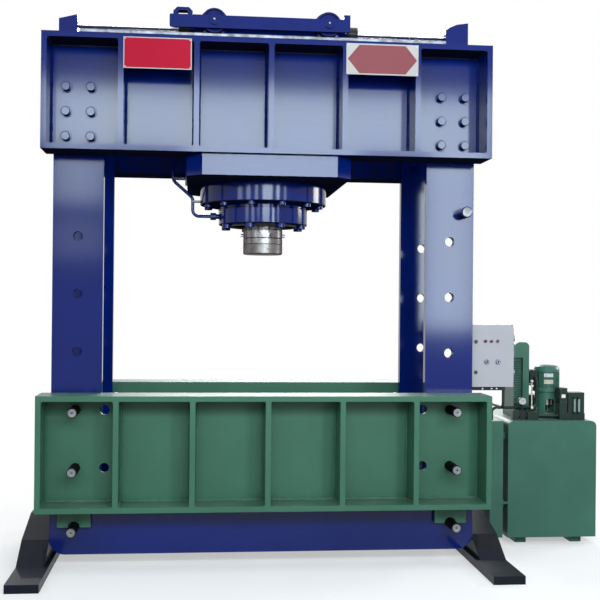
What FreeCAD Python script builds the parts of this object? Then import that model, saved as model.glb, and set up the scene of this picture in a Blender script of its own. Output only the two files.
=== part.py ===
import FreeCAD, Part
import math
import os
import re

import Sketcher

# Hydraulic workshop press: a two-column frame with a bolted head, a height-adjustable bed held by
# pins, a cylinder on a carriage that rolls along the head, a power unit and a control cabinet.
# Millimetres. X runs along the press, Y from its front to its back, Z up; the floor is Z = 0.
# X is counted from the press centre line and Y from the middle of the frame's depth, and every
# sub-part is then moved by centre_x, so that the origin is under the middle of the whole machine.

SIZES = {
    # frame
    "centre_x": -372,
    # how far a cutting shape runs past the face it opens
    "cut_past": 1,
    "column_opening": 1860,
    "column_width": 282,
    "column_plate": 50,
    "column_foot": 72,
    "frame_depth": 806,
    "foot_round": 90,
    "head_top": 2960,
    "head_overhang": 40,
    "bed_above_pins": 94,
    "bed_overhang": 53,
    "girder_height": 638,
    "girder_web": 34,
    "girder_flange": 203,
    "girder_plate": 30,
    "panel_count": 6,
    # rows of pin holes in the columns
    "pin_row_first": 232,
    "pin_row_pitch": 326,
    "pin_row_count": 6,
    "pin_diameter": 54,
    "pin_clearance": 0.5,
    "pin_out_front": 183,
    "pin_out_rear": 30,
    "pin_chamfer": 4,
    "lift_hole_inset": 20,
    "lug_width": 184,
    "lug_plate": 30,
    "lug_gap": 10,
    "lug_notch_clearance": 6,
    # bolts that hold the head
    "head_bolt_pitch_x": 138,
    "head_bolt_first": 96,
    "head_bolt_pitch_z": 139,
    "head_bolt_head": 50,
    "head_bolt_height": 36,
    "head_bolt_shank": 30,
    "bolt_clearance": 0.4,
    "head_nut_height": 24,
    "bolt_chamfer": 3,
    # plates between front and rear
    "spacer_plate": 24,
    "spacer_margin": 40,
    "tie_plate": 30,
    "tie_top_gap": 14,
    "cross_plate": 30,
    "cross_plate_x": 560,
    "cross_plate_height": 300,
    # feet
    "foot_width": 175,
    "foot_overlap": 22,
    "foot_base": 45,
    "foot_reach": 952,
    "foot_rise_y": 600,
    "foot_shoulder_y": 412,
    "foot_shoulder_z": 153,
    "foot_flat_y": 81,
    "foot_top": 240,
    "foot_wall": 20,
    # peg on the right column
    "peg_diameter": 64,
    "peg_length": 108,
    "peg_x": 75,
    "peg_drop": 293,
    "peg_chamfer": 5,
    # bare plates on the head
    "sign_plate": 4,
    "sign_left_inset": 28,
    "sign_left_width": 371,
    "sign_left_drop": 20,
    "sign_left_height": 172,
    "sign_right_inset": 18,
    "sign_right_width": 408,
    "sign_right_drop": 14,
    "sign_right_height": 174,
    # rails and traverse cylinder on the head
    "rail_out": 133,
    "rail_width": 48,
    "rail_height": 38,
    "rail_inset_left": 192,
    "rail_inset_right": 252,
    "rail_chamfer": 4,
    "post_left_inset": 124,
    "post_left_width": 102,
    "post_left_height": 136,
    "post_left_slope": 26,
    "post_depth": 92,
    "post_right_inset": 169,
    "post_right_width": 132,
    "post_right_height": 165,
    "post_right_shoulder": 118,
    "post_right_slope": 10,
    "post_right_drop": 28,
    "post_right_step": 26,
    "traverse_out": 33,
    "traverse_z": 88,
    "traverse_rod": 36,
    "traverse_spigot": 30,
    "traverse_bore": 52,
    "traverse_tube": 66,
    "traverse_left": 450,
    "traverse_right": 440,
    "traverse_gland": 76,
    "traverse_gland_chamfer": 4,
    "traverse_gland_length": 66,
    "traverse_piston": 44,
    "traverse_clearance": 0.05,
    # carriage
    "wheel_spacing": 645,
    "wheel_offset": 5,
    "wheel_tread": 140,
    "wheel_tread_width": 50,
    "wheel_flange": 160,
    "wheel_flange_width": 10,
    "wheel_hub": 14,
    "wheel_slope": 4,
    "wheel_recess": 6,
    "wheel_rim": 10,
    "wheel_chamfer": 2,
    "wheel_bore_clearance": 0.05,
    "wheel_side_gap": 6,
    "axle_diameter": 40,
    "axle_head": 60,
    "axle_head_length": 8,
    "cheek_plate": 16,
    "cheek_low": 60,
    "cheek_high": 131,
    "cheek_left": 565,
    "cheek_right": 445,
    "cheek_inner_half": 430,
    "beam_width": 56,
    "beam_gap": 8,
    "beam_x": 110,
    "beam_wall": 5,
    "bracket_left": 545,
    "bracket_right": 437,
    "bracket_top": 170,
    "bracket_strap": 18,
    "bracket_corner": 22,
    "bracket_depth": 60,
    "stop_block_width": 36,
    "stop_block_height": 26,
    # reaction slab and cylinder
    "slab_gap": 3,
    "slab_height": 117,
    "slab_half_x": 465,
    "slab_out": 200,
    "slab_corner": 87,
    "barrel_wall": 68,
    "barrel_top_drop": 150,
    "barrel_bore": 424,
    "barrel_flange_height": 115,
    "barrel_chamfer": 5,
    "cap_height": 60,
    "cap_boss": 340,
    "gland_height": 120,
    "gland_spigot": 60,
    "gland_groove_z": 22,
    "gland_groove": 6,
    "gland_bolt_room": 30,
    "gland_bolt_edge": 29,
    "gland_bolt_count": 8,
    "gland_bolt_head": 54,
    "gland_bolt_height": 24,
    "gland_bolt_shank": 36,
    "gland_bolt_grip": 60,
    "bolt_end_room": 2,
    "flange_bolt_room": 65,
    "flange_bolt_edge": 40,
    "flange_bolt_count": 12,
    "flange_bolt_head": 48,
    "flange_bolt_height": 20,
    "flange_bolt_shank": 30,
    "flange_bolt_grip": 70,
    # ram
    "ram_diameter": 240,
    "ram_stub": 177,
    "ram_fit": 0.05,
    "ram_chamfer": 2,
    "ram_groove": 3,
    "ram_groove_below": 18,
    "ram_groove_above": 34,
    "piston_height": 110,
    "piston_gap": 10,
    "piston_fit": 0.05,
    "nose_height": 62,
    "nose_spigot": 120,
    "nose_spigot_height": 64,
    "nose_fit": 0.1,
    "nose_room": 1,
    "nose_chamfer": 6,
    "screw_z": 116,
    "screw_diameter": 20,
    "screw_out": 16,
    "screw_hole_x": 44,
    "screw_hole_depth": 40,
    "screw_fit": 0.05,
    # steel pipe to the rod side of the cylinder
    "pipe_diameter": 20,
    "pipe_bend": 40,
    "pipe_z": 53,
    "pipe_out": 159,
    "pipe_past_slab": 84,
    "pipe_rise": 111,
    "pipe_slope": 104,
    "pipe_top": 40,
    "pipe_nut": 44,
    "pipe_nut_length": 34,
    "pipe_neck": 30,
    "pipe_neck_length": 17,
    "clip_width": 40,
    "clip_plate": 12,
    "clip_height": 80,
    "clip_low": 5,
    "clip_arm_low": 38,
    "clip_over": 6,
    "clip_flange_low": 16,
    # power unit
    "tank_gap": 329,
    "tank_width": 568,
    "tank_front": -53,
    "tank_depth": 1000,
    "tank_foot": 46,
    "tank_height": 726,
    "tank_round": 34,
    "tank_wall": 5,
    "tank_foot_width": 70,
    "duct_width": 83,
    "duct_depth": 300,
    "duct_gap": 32,
    "duct_wall": 3,
    "duct_strap_z": 211,
    "duct_strap_height": 14,
    "duct_strap_plate": 3,
    "duct_spacer_y": 60,
    "duct_spacer_depth": 60,
    "duct_spacer_height": 40,
    "duct_spacer_low": 181,
    "duct_spacer_high": 606,
    # places on the tank are counted from its front left corner
    "cooler_x": 104,
    "cooler_y": 203,
    "cooler_width": 93,
    "cooler_depth": 260,
    "cooler_height": 485,
    "cooler_round": 30,
    "cooler_inset_width": 52,
    "cooler_inset_height": 330,
    "cooler_inset_z": 55,
    "cooler_inset_depth": 30,
    "cooler_fin_back": 10,
    "cooler_fin": 3,
    "cooler_fin_pitch": 15,
    "cooler_fin_count": 21,
    "motor_x": 329,
    "motor_y": 250,
    "motor_diameter": 164,
    "motor_height": 100,
    "motor_flange": 180,
    "motor_flange_height": 12,
    "motor_wall": 8,
    "motor_fin_depth": 6,
    "motor_fin_count": 20,
    "motor_fin": 4,
    "cowl_height": 44,
    "cowl_round": 26,
    "cowl_bevel": 9,
    "cowl_wall": 3,
    "bell_height": 180,
    "bell_diameter": 150,
    "bell_wall": 10,
    "bell_foot": 184,
    "bell_foot_height": 12,
    "bell_window": 60,
    "bell_window_height": 90,
    "bell_window_low": 20,
    "bell_window_arch": 20,
    "bell_window_top": 30,
    "shaft_diameter": 28,
    "bearing_fit": 0.1,
    "rotor_diameter": 110,
    "rotor_height": 64,
    "rotor_gap": 12,
    "fan_diameter": 130,
    "fan_blades": 6,
    "fan_blade": 3,
    "fan_height": 20,
    "fan_gap": 4,
    "coupling_diameter": 70,
    "coupling_height": 80,
    "coupling_drop": 20,
    "terminal_width": 46,
    "terminal_depth": 110,
    "terminal_height": 96,
    "terminal_z": 30,
    "terminal_lid": 14,
    "terminal_lid_lip": 3,
    "terminal_lid_room": 6,
    "terminal_entry": 15,
    "bank_x": 354,
    "bank_y": 70,
    "bank_depth": 84,
    "bank_width": 165,
    "bank_height": 40,
    "valve_gap": 6,
    "valve_one_width": 50,
    "valve_one_height": 160,
    "valve_two_width": 105,
    "valve_two_height": 132,
    "sight_diameter": 12,
    "sight_height": 104,
    "sight_spacing": 28,
    "sight_gap": 10,
    "sight_clamp": 12,
    "sight_clamp_width": 17,
    "lever_x": 181,
    "lever_y": 100,
    "lever_z": 58,
    "lever_length": 180,
    "lever_rod": 9,
    "lever_knob": 22,
    "lever_hub": 26,
    "lever_fit": 0.1,
    "hand_valve_width": 70,
    "hand_valve_depth": 64,
    "hand_valve_height": 52,
    "lever_slot": 12,
    "lever_gap": 0.5,
    "lever_seat": 2,
    "lever_ear": 8,
    "lever_ear_depth": 28,
    "lever_ear_over": 6,
    "gauge_x": 118,
    "gauge_y": 93,
    "gauge_z": 116,
    "gauge_diameter": 52,
    "gauge_depth": 24,
    "gauge_wall": 3,
    "gauge_stem": 12,
    "gauge_block": 34,
    "gauge_block_height": 52,
    "gauge_pivot": 4,
    "gauge_pivot_out": 4,
    "gauge_pivot_sunk": 0.3,
    "gauge_dial_in": 7,
    "gauge_round": 2,
    "needle_length": 19,
    "needle_tail": 6,
    "needle_width": 2.4,
    "needle_plate": 0.8,
    "needle_hub": 7,
    "needle_fit": 0.1,
    "needle_lift": 0.6,
    "filler_inset": 119,
    "filler_y": 613,
    "filler_neck": 60,
    "filler_neck_height": 24,
    "filler_neck_wall": 5,
    "filler_cap": 84,
    "filler_cap_height": 40,
    "filler_cap_skirt": 14,
    "filler_cap_wall": 6,
    "filler_cap_fit": 0.5,
    "filler_cap_gap": 0.3,
    "filler_cap_flare": 4,
    "filler_cap_bevel": 3,
    "filler_cap_round": 9,
    "filter_inset": 209,
    "filter_y": 693,
    "filter_diameter": 110,
    "filter_height": 90,
    "filter_lid": 124,
    "filter_lid_height": 18,
    "plumb_pipe": 22,
    "fitting_x": 73,
    "fitting_size": 40,
    "fitting_height": 58,
    # control cabinet on the right column
    "cabinet_gap": 14,
    "cabinet_width": 254,
    "cabinet_step": 60,
    "cabinet_depth": 150,
    "cabinet_bottom": 1008,
    "cabinet_height": 368,
    "cabinet_wall": 2,
    "cabinet_lip": 14,
    "cabinet_round": 26,
    "door_depth": 18,
    "door_plate": 2,
    "door_gap": 1,
    "door_corner_room": 9,
    "hinge_out": 7,
    "hinge_diameter": 10,
    "hinge_pin": 5,
    "hinge_height": 40,
    "hinge_inset": 60,
    "hinge_fit": 0.1,
    "hinge_gap": 0.5,
    "hinge_leaf": 2,
    "hinge_leaf_gap": 0.4,
    "hinge_pin_end": 2,
    "latch_x": 24,
    "latch_upper_z": 268,
    "latch_lower_z": 86,
    "latch_knob": 22,
    "latch_knob_height": 7,
    "latch_shaft": 9,
    "latch_fit": 0.1,
    "latch_cam_length": 20,
    "latch_cam_width": 12,
    "latch_cam_plate": 3,
    "latch_cam_gap": 0.5,
    "latch_lift": 0.3,
    "latch_wing_length": 20,
    "latch_wing": 4,
    "lamp_diameter": 20,
    "lamp_height": 9,
    "lamp_z": 272,
    "lamp_first_x": 80,
    "lamp_pitch": 37,
    "button_z": 149,
    "button_left_x": 89,
    "button_right_x": 158,
    "button_bezel": 30,
    "button_bezel_height": 6,
    "button_cap": 22,
    "button_cap_out": 6,
    "button_fit": 0.2,
    "button_collar": 2,
    "button_collar_height": 3,
    "button_gap": 0.3,
    "button_round": 1.5,
    "knob_z": 198,
    "knob_y": 70,
    "knob_diameter": 26,
    "knob_height": 18,
    "knob_shaft": 8,
    "knob_plate": 44,
    "knob_plate_height": 3,
    "knob_lift": 0.3,
    "knob_grip": 9,
    "knob_shaft_in": 6,
    "knob_bore_in": 10,
    "arm_height": 50,
    "arm_inset": 60,
    "arm_depth": 80,
    "arm_plate": 8,
    "arm_spacer": 4,
    "arm_overlap": 80,
    # conduits from the cabinet to the power unit
    "conduit_diameter": 18,
    "conduit_bend": 30,
    "conduit_entry": 15,
    "conduit_leave": 53,
    "conduit_in": 113,
    "conduit_room": 50,
    "conduit_rise": 70,
    "cable_gland": 28,
    "cable_gland_height": 22,
    "cable_gland_x": 215,
    "cable_y": 75,
}

document = FreeCAD.newDocument("hydraulic_press")
sheet = document.addObject("Spreadsheet::Sheet", "dims")
ALIAS = re.compile(r"\b(" + "|".join(SIZES) + r")\b")
made = []


# ------------------------------------------------------------------------------------ helpers


def fill_sheet():
    """Writes each driving dimension into the sheet under its own alias."""
    for row, (alias, value) in enumerate(SIZES.items(), start=1):
        sheet.set(f"A{row}", alias)
        sheet.set(f"B{row}", str(value))
        sheet.setAlias(f"B{row}", alias)
    document.recompute()


def formula(text):
    """The text with every alias pointed at its cell."""
    return ALIAS.sub(r"dims.\1", str(text))


def number(text):
    """The present value of a formula."""
    return float(sheet.evalExpression(formula(text)))


def bind(item, prop, text):
    item.setExpression(prop, formula(text))


def place(item, x="0", y="0", z="0"):
    bind(item, "Placement.Base.x", f"centre_x + {x}")
    bind(item, "Placement.Base.y", y)
    bind(item, "Placement.Base.z", z)


def part(item, label):
    """Names a finished sub-part and keeps it for writing."""
    item.Label = label
    made.append(item)
    return item


def band(side, near, far):
    """A range of Y between two distances from the middle of the frame, at the front or the rear."""
    if side < 0:
        return f"-({far})", f"-({near})"
    return near, far


def new_body(label, x="0", y="0", z="0"):
    item = document.addObject("PartDesign::Body", label)
    item.AllowCompound = True
    place(item, x, y, z)
    return part(item, label)


def origin_feature(body, role):
    return next(item for item in body.Origin.OriginFeatures if item.Role == role)


def new_sketch(body, plane, offset):
    sketch = body.newObject("Sketcher::SketchObject", f"{body.Name}_sketch")
    sketch.AttachmentSupport = (origin_feature(body, f"{plane}_Plane"), "")
    sketch.MapMode = "FlatFace"
    bind(sketch, "AttachmentOffset.Base.z", offset)
    return sketch


def pin_point(sketch, index, end, place_text):
    """Ties one point of the sketch to a pair of formulas, counted from the sketch's origin."""
    for kind, text in zip(("DistanceX", "DistanceY"), place_text):
        constraint = sketch.addConstraint(Sketcher.Constraint(kind, -1, 1, index, end, number(text)))
        bind(sketch, f"Constraints[{constraint}]", text)


def outline(sketch, points):
    """A closed outline of straight edges through points, each a pair of formulas."""
    corners = [FreeCAD.Vector(number(u), number(v), 0) for u, v in points]
    first = sketch.GeometryCount
    count = len(corners)
    for index, corner in enumerate(corners):
        sketch.addGeometry(Part.LineSegment(corner, corners[(index + 1) % count]))
    for index in range(count):
        following = first + (index + 1) % count
        sketch.addConstraint(Sketcher.Constraint("Coincident", first + index, 2, following, 1))
    for index, point in enumerate(points):
        pin_point(sketch, first + index, 1, point)


def circle(sketch, u, v, diameter):
    centre = FreeCAD.Vector(number(u), number(v), 0)
    index = sketch.addGeometry(Part.Circle(centre, FreeCAD.Vector(0, 0, 1), number(diameter) / 2))
    pin_point(sketch, index, 3, (u, v))
    constraint = sketch.addConstraint(Sketcher.Constraint("Diameter", index, number(diameter)))
    bind(sketch, f"Constraints[{constraint}]", diameter)


def draw(sketch, shapes):
    """Draws outlines (lists of points) and circles (u, v, diameter) into one sketch."""
    for shape in shapes:
        if isinstance(shape, tuple):
            circle(sketch, *shape)
        else:
            outline(sketch, shape)


def rectangle(u, v):
    """Corners of a rectangle between two pairs of formulas."""
    return [(u[0], v[0]), (u[1], v[0]), (u[1], v[1]), (u[0], v[1])]


def pad(body, plane, shapes, low, high):
    """Extrudes shapes drawn on a plane of the body, between two places along the third axis."""
    offset = f"-({high})" if plane == "XZ" else low
    sketch = new_sketch(body, plane, offset)
    draw(sketch, shapes)
    feature = body.newObject("PartDesign::Pad", f"{body.Name}_pad")
    feature.Profile = sketch
    bind(feature, "Length", f"({high}) - ({low})")
    return feature


def pocket(body, plane, shapes, low, high):
    """Cuts shapes drawn on a plane of the body, between two places along the third axis."""
    offset = f"-({low})" if plane == "XZ" else high
    sketch = new_sketch(body, plane, offset)
    draw(sketch, shapes)
    feature = body.newObject("PartDesign::Pocket", f"{body.Name}_pocket")
    feature.Profile = sketch
    bind(feature, "Length", f"({high}) - ({low})")
    return feature


def turn(body, plane, points, axis, groove=False):
    """Revolves an outline about an axis of its sketch, or cuts with it."""
    sketch = new_sketch(body, plane, "0")
    outline(sketch, points)
    kind = "Groove" if groove else "Revolution"
    feature = body.newObject(f"PartDesign::{kind}", f"{body.Name}_{kind.lower()}")
    feature.Profile = sketch
    feature.ReferenceAxis = (sketch, [axis])
    feature.Angle = 360
    return feature


def row(body, original, axis, length, count):
    """Repeats a feature along an axis of the body."""
    feature = body.newObject("PartDesign::LinearPattern", f"{body.Name}_row")
    feature.Originals = [original]
    feature.Direction = (origin_feature(body, f"{axis}_Axis"), [""])
    bind(feature, "Length", length)
    bind(feature, "Occurrences", count)
    body.Tip = feature
    return feature


def ring(body, original, axis, count):
    """Repeats a feature round an axis of the body."""
    feature = body.newObject("PartDesign::PolarPattern", f"{body.Name}_ring")
    feature.Originals = [original]
    feature.Axis = (origin_feature(body, f"{axis}_Axis"), [""])
    feature.Angle = 360
    bind(feature, "Occurrences", count)
    body.Tip = feature
    return feature


def soften(body, kind, size, wanted):
    """Rounds or bevels the edges of the body's last feature that the test picks."""
    document.recompute()
    base = body.Tip
    names = [f"Edge{i}" for i, edge in enumerate(base.Shape.Edges, start=1) if wanted(edge)]
    feature = body.newObject(f"PartDesign::{kind}", f"{body.Name}_{kind.lower()}")
    feature.Base = (base, names)
    bind(feature, "Radius" if kind == "Fillet" else "Size", size)
    return feature


def straight_along(edge, axis):
    """Whether an edge is straight and runs along the axis numbered 0, 1 or 2."""
    if not isinstance(edge.Curve, (Part.Line, Part.LineSegment)):
        return False
    return abs(abs(edge.tangentAt(edge.FirstParameter)[axis]) - 1) < 1e-6


def middle(edge):
    return edge.BoundBox.Center


def box(label, x, y, z):
    """A plain block between three pairs of formulas."""
    item = document.addObject("Part::Box", label)
    for prop, (low, high) in zip(("Length", "Width", "Height"), (x, y, z)):
        bind(item, prop, f"({high}) - ({low})")
    place(item, x[0], y[0], z[0])
    return item


AXIS_TURNS = {
    "X": FreeCAD.Rotation(FreeCAD.Vector(0, 1, 0), 90),
    "Y": FreeCAD.Rotation(FreeCAD.Vector(1, 0, 0), -90),
    "Z": FreeCAD.Rotation(),
}


def cylinder(label, axis, start, length, diameter):
    """A plain cylinder that starts at a point and runs along an axis."""
    item = document.addObject("Part::Cylinder", label)
    item.Placement = FreeCAD.Placement(FreeCAD.Vector(), AXIS_TURNS[axis])
    bind(item, "Radius", f"({diameter})/2")
    bind(item, "Height", length)
    place(item, *start)
    return item


def fuse(label, items):
    item = document.addObject("Part::MultiFuse", label)
    item.Shapes = items
    return item


def minus(label, base, tools):
    item = document.addObject("Part::Cut", label)
    item.Base = base
    item.Tool = tools[0] if len(tools) == 1 else fuse(f"{label}_tools", tools)
    return item


def group(label, items):
    """Several separate solids that make one node."""
    item = document.addObject("Part::Compound", label)
    item.Links = items
    return item


# ------------------------------------------------------------------------ places worked out once

FRONT_REAR = (-1, 1)
LEFT_RIGHT = (-1, 1)
BOLT_LEVELS = 3
LAMP_COUNT = 3
NEEDLE_REST = 135
NEAR = 0.01


def pin_row(index):
    """Height of a row of pin holes, counted from the lowest."""
    return f"(pin_row_first + {index}*pin_row_pitch)"


def on_tank(name):
    """X and Y of something whose place is counted from the tank's front left corner."""
    return f"({TANK_LEFT} + {name}_x)", f"(tank_front + {name}_y)"


def bolt_spot(circle_diameter, count):
    """X and Y of the first bolt of a ring, half a step away from the X axis."""
    radius, angle = f"{circle_diameter}/2", f"(180/{count})"
    return f"{radius}*cos{angle}", f"{radius}*sin{angle}"


COLUMN_IN = "(column_opening/2)"
COLUMN_MID = f"({COLUMN_IN} + column_width/2)"
COLUMN_OUT = f"({COLUMN_IN} + column_width)"
FACE = "(frame_depth/2)"
PLATE_BACK = f"({FACE} - column_plate)"
WEB = f"({FACE} + girder_web)"
FLANGE = f"({WEB} + girder_flange)"
HEAD_LENGTH = f"(2*{COLUMN_OUT} + 2*head_overhang)"
HEAD_PITCH = f"(({HEAD_LENGTH} - girder_plate)/panel_count)"
HEAD_BOTTOM = "(head_top - girder_height)"
BED_LENGTH = f"(2*{COLUMN_OUT} + 2*bed_overhang)"
BED_BOTTOM = f"({pin_row(2)} + bed_above_pins - girder_height)"
PIN_HOLE = "(pin_diameter + 2*pin_clearance)"
BOLT_HOLE = "(head_bolt_shank + 2*bolt_clearance)"
RAIL_Y = f"({FACE} + rail_out)"
TRAVERSE_Y = f"({FACE} + traverse_out)"
TRAVERSE_Z = "(head_top + traverse_z)"
POST_LEFT = f"({HEAD_LENGTH}/2 - post_left_inset)"
POST_RIGHT = f"({HEAD_LENGTH}/2 - post_right_inset)"
SPIGOT_HOLE = "(traverse_spigot + 2*traverse_clearance)"
SLAB_Y = f"({FACE} + slab_out)"
SLAB_TOP = f"({HEAD_BOTTOM} - slab_gap)"
SLAB_BOTTOM = f"({SLAB_TOP} - slab_height)"
BARREL = "(barrel_bore + 2*barrel_wall)"
FLANGE_CIRCLE = f"({BARREL} + 2*flange_bolt_room)"
BARREL_FLANGE = f"({FLANGE_CIRCLE} + 2*flange_bolt_edge)"
BARREL_BOTTOM = f"({SLAB_BOTTOM} - barrel_flange_height)"
BARREL_TOP = "(head_top - barrel_top_drop)"
GLAND_CIRCLE = "(barrel_bore + 2*gland_bolt_room)"
GLAND = f"({GLAND_CIRCLE} + 2*gland_bolt_edge)"
GLAND_BOTTOM = f"({BARREL_BOTTOM} - gland_height)"
GLAND_BOLT = bolt_spot(GLAND_CIRCLE, "gland_bolt_count")
FLANGE_BOLT = bolt_spot(FLANGE_CIRCLE, "flange_bolt_count")
RAM_BOTTOM = f"({GLAND_BOTTOM} - ram_stub)"
PISTON_TOP = f"({BARREL_TOP} - piston_gap)"
BEAM_BOTTOM = "(head_top + beam_gap)"
BEAM_TOP = f"({TRAVERSE_Z} - traverse_tube/2)"
WHEEL_Z = "(head_top + rail_height + wheel_tread/2)"
TANK_LEFT = f"({COLUMN_OUT} + tank_gap)"
TANK_TOP = "(tank_foot + tank_height)"
DUCT_LEFT = f"({TANK_LEFT} - duct_gap - duct_width)"
COOLER = on_tank("cooler")
MOTOR = on_tank("motor")
BANK = on_tank("bank")
LEVER = on_tank("lever")
GAUGE = on_tank("gauge")
TANK_RIGHT = f"({TANK_LEFT} + tank_width)"
FILLER = (f"({TANK_RIGHT} - filler_inset)", "(tank_front + filler_y)")
FILTER = (f"({TANK_RIGHT} - filter_inset)", "(tank_front + filter_y)")


# -------------------------------------------------------------------------------------- frame


def head_bolt_places():
    """X and Z of every bolt at one end plate of the head, for both ends."""
    places = []
    for side in LEFT_RIGHT:
        for column in (-1, 1):
            for level in range(BOLT_LEVELS):
                x = f"{side}*{COLUMN_MID} + {column}*head_bolt_pitch_x/2"
                z = f"{HEAD_BOTTOM} + head_bolt_first + {level}*head_bolt_pitch_z"
                places.append((x, z))
    return places


def column(label, side):
    """Front and rear column plate of one side, with their rows of pin holes."""
    body = new_body(label)
    inner, outer = f"{side}*{COLUMN_IN}", f"{side}*{COLUMN_OUT}"
    left, right = (outer, inner) if side < 0 else (inner, outer)
    for face in FRONT_REAR:
        low, high = band(face, PLATE_BACK, FACE)
        pad(body, "XZ", [rectangle((left, right), ("column_foot", "head_top - girder_plate"))], low, high)
    soften(
        body,
        "Fillet",
        "foot_round",
        lambda e: straight_along(e, 1)
        and abs(middle(e).x - number(outer)) < NEAR
        and middle(e).z < number(BED_BOTTOM),
    )
    through = (f"-{FACE} - cut_past", f"{FACE} + cut_past")
    hole = pocket(body, "XZ", [(f"{side}*{COLUMN_MID}", pin_row(0), PIN_HOLE)], *through)
    row(body, hole, "Z", "pin_row_pitch*(pin_row_count - 1)", "pin_row_count")
    bolts = [(x, z, BOLT_HOLE) for x, z in head_bolt_places() if x.startswith(f"{side}*")]
    pocket(body, "XZ", bolts, *through)
    return body


def right_column():
    """The right column also has a short round peg welded to its front."""
    body = column("column_right", 1)
    spot = (f"{COLUMN_MID} + peg_x", f"{HEAD_BOTTOM} - peg_drop", "peg_diameter")
    pad(body, "XZ", [spot], f"-{FACE} - peg_length", f"-{FACE}")
    end = number(f"-{FACE} - peg_length")
    soften(body, "Chamfer", "peg_chamfer", lambda e: abs(middle(e).y - end) < NEAR)


def girder(label, side, length, bottom):
    """A plate girder open to the outside: web, top and bottom flange, and ribs."""
    body = new_body(label)
    sign = "-" if side < 0 else ""
    top = f"({bottom} + girder_height)"
    inner, web, outer = f"{sign}{FACE}", f"{sign}{WEB}", f"{sign}{FLANGE}"
    section = [
        (inner, bottom),
        (outer, bottom),
        (outer, f"{bottom} + girder_plate"),
        (web, f"{bottom} + girder_plate"),
        (web, f"{top} - girder_plate"),
        (outer, f"{top} - girder_plate"),
        (outer, top),
        (inner, top),
    ]
    pad(body, "YZ", [section], f"-{length}/2", f"{length}/2")
    rib = pad(
        body,
        "YZ",
        [rectangle((web, outer), (f"{bottom} + girder_plate", f"{top} - girder_plate"))],
        f"-{length}/2",
        f"-{length}/2 + girder_plate",
    )
    row(body, rib, "X", f"{length} - girder_plate", "panel_count + 1")
    return body


def head_girder(label, side):
    body = girder(label, side, HEAD_LENGTH, HEAD_BOTTOM)
    bolts = [(x, z, BOLT_HOLE) for x, z in head_bolt_places()]
    pocket(body, "XZ", bolts, *band(side, f"{FACE} - cut_past", f"{WEB} + cut_past"))


def bed_girder(label, side):
    """Bed girder with holes for the pins, lifting holes beside them and notched lugs below."""
    body = girder(label, side, BED_LENGTH, BED_BOTTOM)
    low, high = band(side, f"{FACE} + tie_plate + lug_gap", f"{FACE} + tie_plate + lug_gap + lug_plate")
    for end in LEFT_RIGHT:
        middle_x = f"{end}*{COLUMN_MID}"
        across = (f"{middle_x} - lug_width/2", f"{middle_x} + lug_width/2")
        pad(body, "XZ", [rectangle(across, (pin_row(0), BED_BOTTOM))], low, high)
    notch = "(pin_diameter + 2*lug_notch_clearance)"
    notches = [(f"{end}*{COLUMN_MID}", pin_row(0), notch) for end in LEFT_RIGHT]
    pocket(body, "XZ", notches, f"{low} - cut_past", f"{high} + cut_past")
    holes = []
    for end in LEFT_RIGHT:
        for level in (1, 2):
            holes.append((f"{end}*{COLUMN_MID}", pin_row(level), PIN_HOLE))
            holes.append((f"{end}*({COLUMN_IN} - lift_hole_inset)", pin_row(level), PIN_HOLE))
    pocket(body, "XZ", holes, *band(side, f"{FACE} - cut_past", f"{WEB} + cut_past"))


def head_bolts():
    """Bolts through web and column plate, with a round head outside and a nut inside."""
    body = new_body("head_bolts")
    places = head_bolt_places()
    for side in FRONT_REAR:
        segments = (
            ("head_bolt_head", WEB, f"{WEB} + head_bolt_height"),
            ("head_bolt_shank", PLATE_BACK, WEB),
            ("head_bolt_head", f"{PLATE_BACK} - head_nut_height", PLATE_BACK),
        )
        for diameter, near, far in segments:
            low, high = band(side, near, far)
            pad(body, "XZ", [(x, z, diameter) for x, z in places], low, high)
    end = number(f"{WEB} + head_bolt_height")
    soften(body, "Chamfer", "bolt_chamfer", lambda e: abs(abs(middle(e).y) - end) < NEAR)


def head_spacers():
    """Plates that close the ends of the head between front and rear column plates."""
    body = new_body("head_spacers")
    for side in LEFT_RIGHT:
        edges = sorted((f"{side}*{COLUMN_OUT}", f"{side}*({COLUMN_OUT} - spacer_plate)"), key=number)
        height = (f"{HEAD_BOTTOM} + spacer_margin", "head_top - girder_plate - spacer_margin")
        pad(body, "YZ", [rectangle((f"-{PLATE_BACK}", PLATE_BACK), height)], *edges)


def lower_ties():
    """Plates across the feet of the columns, front and rear, with rounded lower corners."""
    body = new_body("lower_ties")
    across = (f"-{COLUMN_OUT}", COLUMN_OUT)
    for side in FRONT_REAR:
        low, high = band(side, FACE, f"{FACE} + tie_plate")
        pad(body, "XZ", [rectangle(across, ("column_foot", f"{BED_BOTTOM} - tie_top_gap"))], low, high)
    soften(
        body,
        "Fillet",
        "foot_round",
        lambda e: straight_along(e, 1) and middle(e).z < number("column_foot") + NEAR,
    )
    holes = [(f"{end}*{COLUMN_MID}", pin_row(0), PIN_HOLE) for end in LEFT_RIGHT]
    reach = f"({FACE} + tie_plate + cut_past)"
    pocket(body, "XZ", holes, f"-{reach}", reach)


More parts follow.
